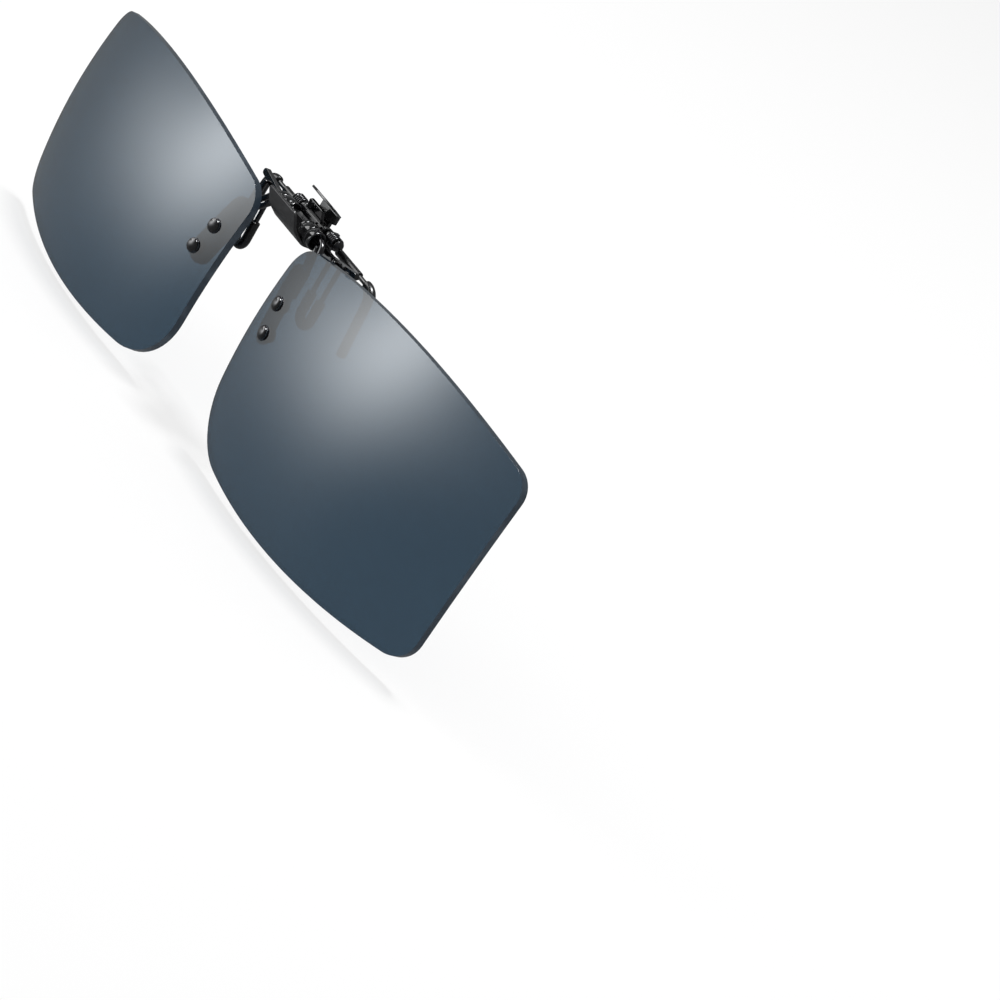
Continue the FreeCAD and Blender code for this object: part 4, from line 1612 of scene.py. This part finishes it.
@dataclass
class JawPin:
    """The pin that both jaws turn on, with a domed head at each end."""

    shaft: float = 0.45
    head: float = 0.85
    steps: int = 40

    def build(self, shop: Workshop) -> None:
        """Makes the pin with its head, and the cap on its other end.

        Args:
            shop: Where their materials come from.
        """
        low, high = box_of("jaw_pin")
        cap_low, cap_high = box_of("jaw_pin_cap")
        centre, thick = middle(low, high), cap_high.x - cap_low.x
        crown = dome(self.head, thick, thick, 75, 15)
        crown += [(self.head, thick * 0.82), (self.head - 0.04, thick)]
        long = high.x - low.x
        rod = [(self.shaft, thick), (self.shaft, long - 0.05), (self.shaft - 0.06, long), (0, long)]
        pin = Blank().turned(crown + rod, self.steps)
        pin.aimed(Vector((low.x, centre.y, centre.z)), X)
        cap = Blank().turned(crown + [(0, thick)], self.steps)
        cap.aimed(Vector((cap_high.x, centre.y, centre.z)), -X)
        steel = [shop.materials[Slot.AXLE]]
        pin.piece("jaw_pin_turned", steel, "clip", Slot.AXLE, "jaw_pin")
        cap.piece("jaw_pin_domed_cap", steel, "clip", Slot.AXLE, "jaw_pin_cap")


@dataclass
class Springs:
    """Coil springs round the jaw pin, one beside each pair of ears."""

    wire: float = 0.18
    mean: float = 0.84
    turns: float = 4.0
    pitch: float = 0.42
    steps: int = 26

    def coil(self) -> Blank:
        """One spring, at +X, wound outwards in one bend.

        Returns:
            The spring.
        """
        low, high = box_of("right_jaw_spring")
        centre = middle(low, high)
        start = Vector((low.x + self.wire, centre.y, centre.z + self.mean))
        wire = Wire(self.wire, start, -Y, 14)
        angle, steps = 2 * math.pi * self.turns, int(self.steps * self.turns)
        wire.bend(-Z, self.mean, angle, steps, self.pitch * self.turns)
        return wire.capped(self.wire / 3)

    def build(self, shop: Workshop) -> None:
        """Makes both springs.

        Args:
            shop: Where their material comes from.
        """
        steel = [shop.materials[Slot.SPRING]]
        self.coil().pair("spring_coil", steel, "clip", Slot.SPRING, "jaw_spring")


# ---------------------------------------------------------------- prongs
@dataclass
class Prongs:
    """The wires that reach down in front of and behind the spectacles, with their vinyl sleeves."""

    wire: float = 0.36
    sleeve: float = 0.6
    tip_sleeve: float = 0.72
    play: float = 0.01
    tip_over: float = 0.5
    rear_start: float = 1.6
    rear_y: float = 1.3
    rear_z: float = 5.95
    rear_reach: float = 17.0
    rear_bend: float = 2.2
    rear_tip: tuple[float, float, float] = (17.6, 1.9, -3.6)
    rod_span: tuple[float, float] = (5.4, 12.2)
    legs: tuple[float, float] = (10.0, 12.7)
    leg_top: float = 6.1
    knee: float = 4.2
    low: float = -2.4
    ahead: float = 1.75
    knee_bend: float = 2.4
    sleeve_top: float = 0.6
    front_y: float = -2.06

    def rear_parts(self) -> dict[str, tuple[Blank, Slot]]:
        """The rear rod of one side, with its sleeves.

        Returns:
            Each node's piece and slot.
        """
        tip = Vector(self.rear_tip)
        corner = Vector((self.rear_reach, self.rear_y, self.rear_z))
        down = (tip - corner).normalized()
        rod = Wire(self.wire, Vector((self.rear_start, self.rear_y, self.rear_z)), X)
        rod.through([corner, tip], [self.rear_bend])
        near, far = self.rod_span
        tube = Wire(self.sleeve, Vector((near, self.rear_y, self.rear_z)), X, 24)
        tube.straight(far - near)
        back = self.rear_bend * math.tan(X.angle(down) / 2) + self.tip_over
        end = Wire(self.tip_sleeve, corner - X * back, X, 24)
        end.through([corner, tip + down * self.tip_over], [self.rear_bend])
        return {
            "rear_prong": (rod.capped(0.12), Slot.PRONG),
            "rear_rod_sleeve": (tube.walled(self.sleeve - self.wire - self.play, 0.09), Slot.SLEEVE),
            "rear_tip_sleeve": (end.capped(0.22), Slot.SLEEVE),
        }

    def hairpin(self, start: float, radius: float) -> Wire:
        """Wire down one front leg, round the turn and up the other.

        Args:
            start: The height that it starts and ends at.
            radius: The wire's or sleeve's radius.

        Returns:
            The open wire.
        """
        near, far = self.legs
        y_low = -self.ahead
        down = Vector((0, y_low - self.front_y, self.low - self.knee)).normalized()
        half = (far - near) / 2
        if start > self.knee:
            wire = Wire(radius, Vector((near, self.front_y, start)), -Z, 22)
            knee = Vector((near, self.front_y, self.knee))
            wire.through([knee, Vector((near, y_low, self.low))], [self.knee_bend])
        else:
            at = (start - self.knee) / (self.low - self.knee)
            first = Vector((near, self.front_y + at * (y_low - self.front_y), start))
            wire = Wire(radius, first, down, 22).through([Vector((near, y_low, self.low))], [])
        wire.bend(X, half, math.pi, 20)
        if start > self.knee:
            top = Vector((far, self.front_y, start))
            wire.through([Vector((far, self.front_y, self.knee)), top], [self.knee_bend])
        else:
            wire.through([Vector((far, first.y, first.z))], [])
        return wire

    def build(self, shop: Workshop) -> None:
        """Makes all prongs and sleeves.

        Args:
            shop: Where their materials come from.
        """
        parts = {node: (*made, "rear_clamp") for node, made in self.rear_parts().items()}
        bar = self.hairpin(self.leg_top, self.wire)
        parts["front_prong"] = (bar.capped(0.12), Slot.PRONG, "clip")
        tube = self.hairpin(self.sleeve_top, self.tip_sleeve)
        wall = self.tip_sleeve - self.wire - self.play
        parts["front_tip_sleeve"] = (tube.walled(wall, 0.1), Slot.SLEEVE, "clip")
        for node, (shape, slot, body) in parts.items():
            shape.pair(f"{node}_wire", [shop.materials[slot]], body, slot, node)


# ---------------------------------------------------------------- the studio
@dataclass(frozen=True)
class Lamp:
    """One area lamp, aimed at the grip: which way it lies, how far, how large, and its watts."""

    name: str
    way: tuple[float, float, float]
    far: float
    size: float
    power: float


@dataclass(frozen=True)
class Glow:
    """One soft box with faded edges, seen only in reflections.

    It has the way that it lies, how far it spreads across and up, its tilt, and its middle's brightness.
    """

    way: tuple[float, float, float]
    spread: tuple[float, float]
    tilt: float
    bright: float

    def seen_along(self, sheet: Sheet, direction: Value) -> Value:
        """Its brightness along a direction.

        Args:
            sheet: The world's sheet.
            direction: The direction that is looked along.

        Returns:
            The brightness.
        """
        way = Vector(self.way).normalized()
        level = way.cross(Z).normalized()
        rise = level.cross(way)
        cos, sin = math.cos(math.radians(self.tilt)), math.sin(math.radians(self.tilt))

        def run(side: Vector) -> Value:
            """How far a direction leans to one side."""
            inputs = {0: direction, 1: tuple(side)}
            return sheet.node("ShaderNodeVectorMath", {"operation": "DOT_PRODUCT"}, inputs, "Value")

        across, up = run(cos * level + sin * rise), run(cos * rise - sin * level)
        across, up = across * across / self.spread[0] ** 2, up * up / self.spread[1] ** 2
        fall = sheet.node("ShaderNodeMath", {"operation": "EXPONENT"}, {0: -0.5 * (across + up)})
        return self.bright * fall * run(way).step(0.0, 0.2)


@dataclass
class Studio:
    """Floor, world, lamps and camera."""

    lens: float = 160.962
    eye: tuple[float, float, float] = (0.4741468, -0.3719649, 0.1666185)
    right: tuple[float, float, float] = (0.4486222, 0.7271428, 0.5196167)
    up: tuple[float, float, float] = (-0.5415211, -0.2413637, 0.8052940)
    back: tuple[float, float, float] = (0.7109803, -0.6426562, 0.2854821)
    floor_size: float = 3000.0
    floor_paint: tuple[float, float, float, float] = (0.88, 0.88, 0.88, 1.0)
    floor_white: float = 0.68
    floor_gap: float = 1.2
    ambient: float = 0.55
    mirrored: float = 0.16
    white: tuple[float, float, float, float] = (1.0, 1.0, 1.0, 1.0)
    cool: tuple[float, float, float, float] = (0.955, 0.98, 1.0, 1.0)
    glows: tuple[Glow, ...] = (
        Glow((-0.528, -0.831, 0.177), (0.231, 0.131), -64.2, 3.0),
        Glow((-0.676, -0.730, -0.101), (0.283, 0.123), -11.3, 1.6),
        Glow((-0.06, -0.12, 0.99), (0.12, 0.09), 0.0, 30.0),
    )
    lamps: tuple[Lamp, ...] = (
        Lamp("overhead_lamp", (0.0, 0.03, 1.0), 0.9, 0.15, 5.2),
        Lamp("side_lamp", (-0.733, -0.568, 0.45), 0.8, 0.5, 2.0),
    )

    def floor(self) -> None:
        """A pale floor that looks white, but keeps the object's shadow."""
        material = bpy.data.materials.new("pale_floor")
        sheet = Sheet(material)
        seen = sheet.ray("Is Camera Ray").most(sheet.ray("Is Transmission Ray"))
        gloss = (1 - seen) * sheet.ray("Is Glossy Ray")
        paint = {"Color": self.floor_paint, "Roughness": 0.4}
        matt = sheet.node("ShaderNodeBsdfDiffuse", None, paint)
        glow = sheet.node("ShaderNodeEmission", None, {"Color": self.white, "Strength": seen + gloss})
        share = self.floor_white * seen + gloss
        sheet.end(sheet.node("ShaderNodeMixShader", None, {0: share, 1: matt, 2: glow}))
        blank = Blank()
        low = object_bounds()[0][2] / METRE
        bmesh.ops.create_grid(blank.bm, x_segments=8, y_segments=8, size=self.floor_size)
        blank.moved(Matrix.Translation((0, 0, low - self.floor_gap)))
        self.stand(blank, "studio_floor", material).visible_glossy = False

    def stand(self, blank: Blank, name: str, material: bpy.types.Material) -> bpy.types.Object:
        """Makes a blank a part of the stage.

        Args:
            blank: The mesh, in millimetres.
            name: The object's name.
            material: Its material.

        Returns:
            The object.
        """
        bmesh.ops.scale(blank.bm, verts=blank.bm.verts[:], vec=(METRE,) * 3)
        mesh = bpy.data.meshes.new(name)
        blank.bm.to_mesh(mesh)
        blank.bm.free()
        mesh.materials.append(material)
        made = bpy.data.objects.new(name, mesh)
        bpy.context.scene.collection.objects.link(made)
        made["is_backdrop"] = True
        return made

    def light(self) -> None:
        """The lamps: one overhead, which throws the shadows, and a large soft one at the side."""
        for lamp in self.lamps:
            light = bpy.data.lights.new(lamp.name, "AREA")
            light.energy, light.size = lamp.power, lamp.size
            made = bpy.data.objects.new(lamp.name, light)
            way = Vector(lamp.way).normalized()
            made.location = way * lamp.far
            made.rotation_euler = way.to_track_quat("Z", "Y").to_euler()
            bpy.context.scene.collection.objects.link(made)

    def world(self) -> None:
        """A plain pale world, white where it is looked at."""
        world = bpy.data.worlds.new("studio")
        bpy.context.scene.world = world
        sheet = Sheet(world)
        seen = sheet.ray("Is Camera Ray").most(sheet.ray("Is Transmission Ray"))
        gloss = sheet.ray("Is Glossy Ray")
        direction = sheet.node("ShaderNodeTexCoord", out="Generated")
        mirrored = sum((glow.seen_along(sheet, direction) for glow in self.glows), self.mirrored)
        strength = seen + (1 - seen) * (gloss * mirrored + (1 - gloss) * self.ambient)
        tone = sheet.mix((1 - seen) * gloss, self.white, self.cool)
        sky = sheet.node("ShaderNodeBackground", None, {"Color": tone, "Strength": strength})
        sheet.end(sky, "ShaderNodeOutputWorld")

    def camera(self) -> None:
        """The camera, at the object's viewing angle."""
        data = bpy.data.cameras.new("camera")
        data.lens, data.sensor_width = self.lens, 36.0
        data.clip_start, data.clip_end = 0.01, 20.0
        made = bpy.data.objects.new("camera", data)
        turn = Matrix((self.right, self.up, self.back)).transposed()
        made.matrix_world = Matrix.Translation(self.eye) @ turn.to_4x4()
        bpy.context.scene.collection.objects.link(made)
        bpy.context.scene.camera = made

    def build(self) -> None:
        """Sets the whole stage, with colours shown as they are."""
        self.floor()
        self.light()
        self.world()
        self.camera()
        bpy.context.scene.view_settings.view_transform = "Standard"


def main() -> None:
    """Builds every sub-assembly in order, then sets the studio."""
    logging.basicConfig(level=logging.INFO, format="%(name)s: %(message)s")
    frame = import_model()
    shop = Workshop(frame)
    seat = LensFrame()
    studio = Studio()
    for assembly in (
        Lenses(seat), Rivets(seat), Brackets(seat), Hinge(), Cover(), Jaws(), JawPin(), Springs(), Prongs(),
    ):
        LOG.info("building %s", type(assembly).__name__)
        assembly.build(shop)
    studio.build()


if __name__ == "__main__":
    main()
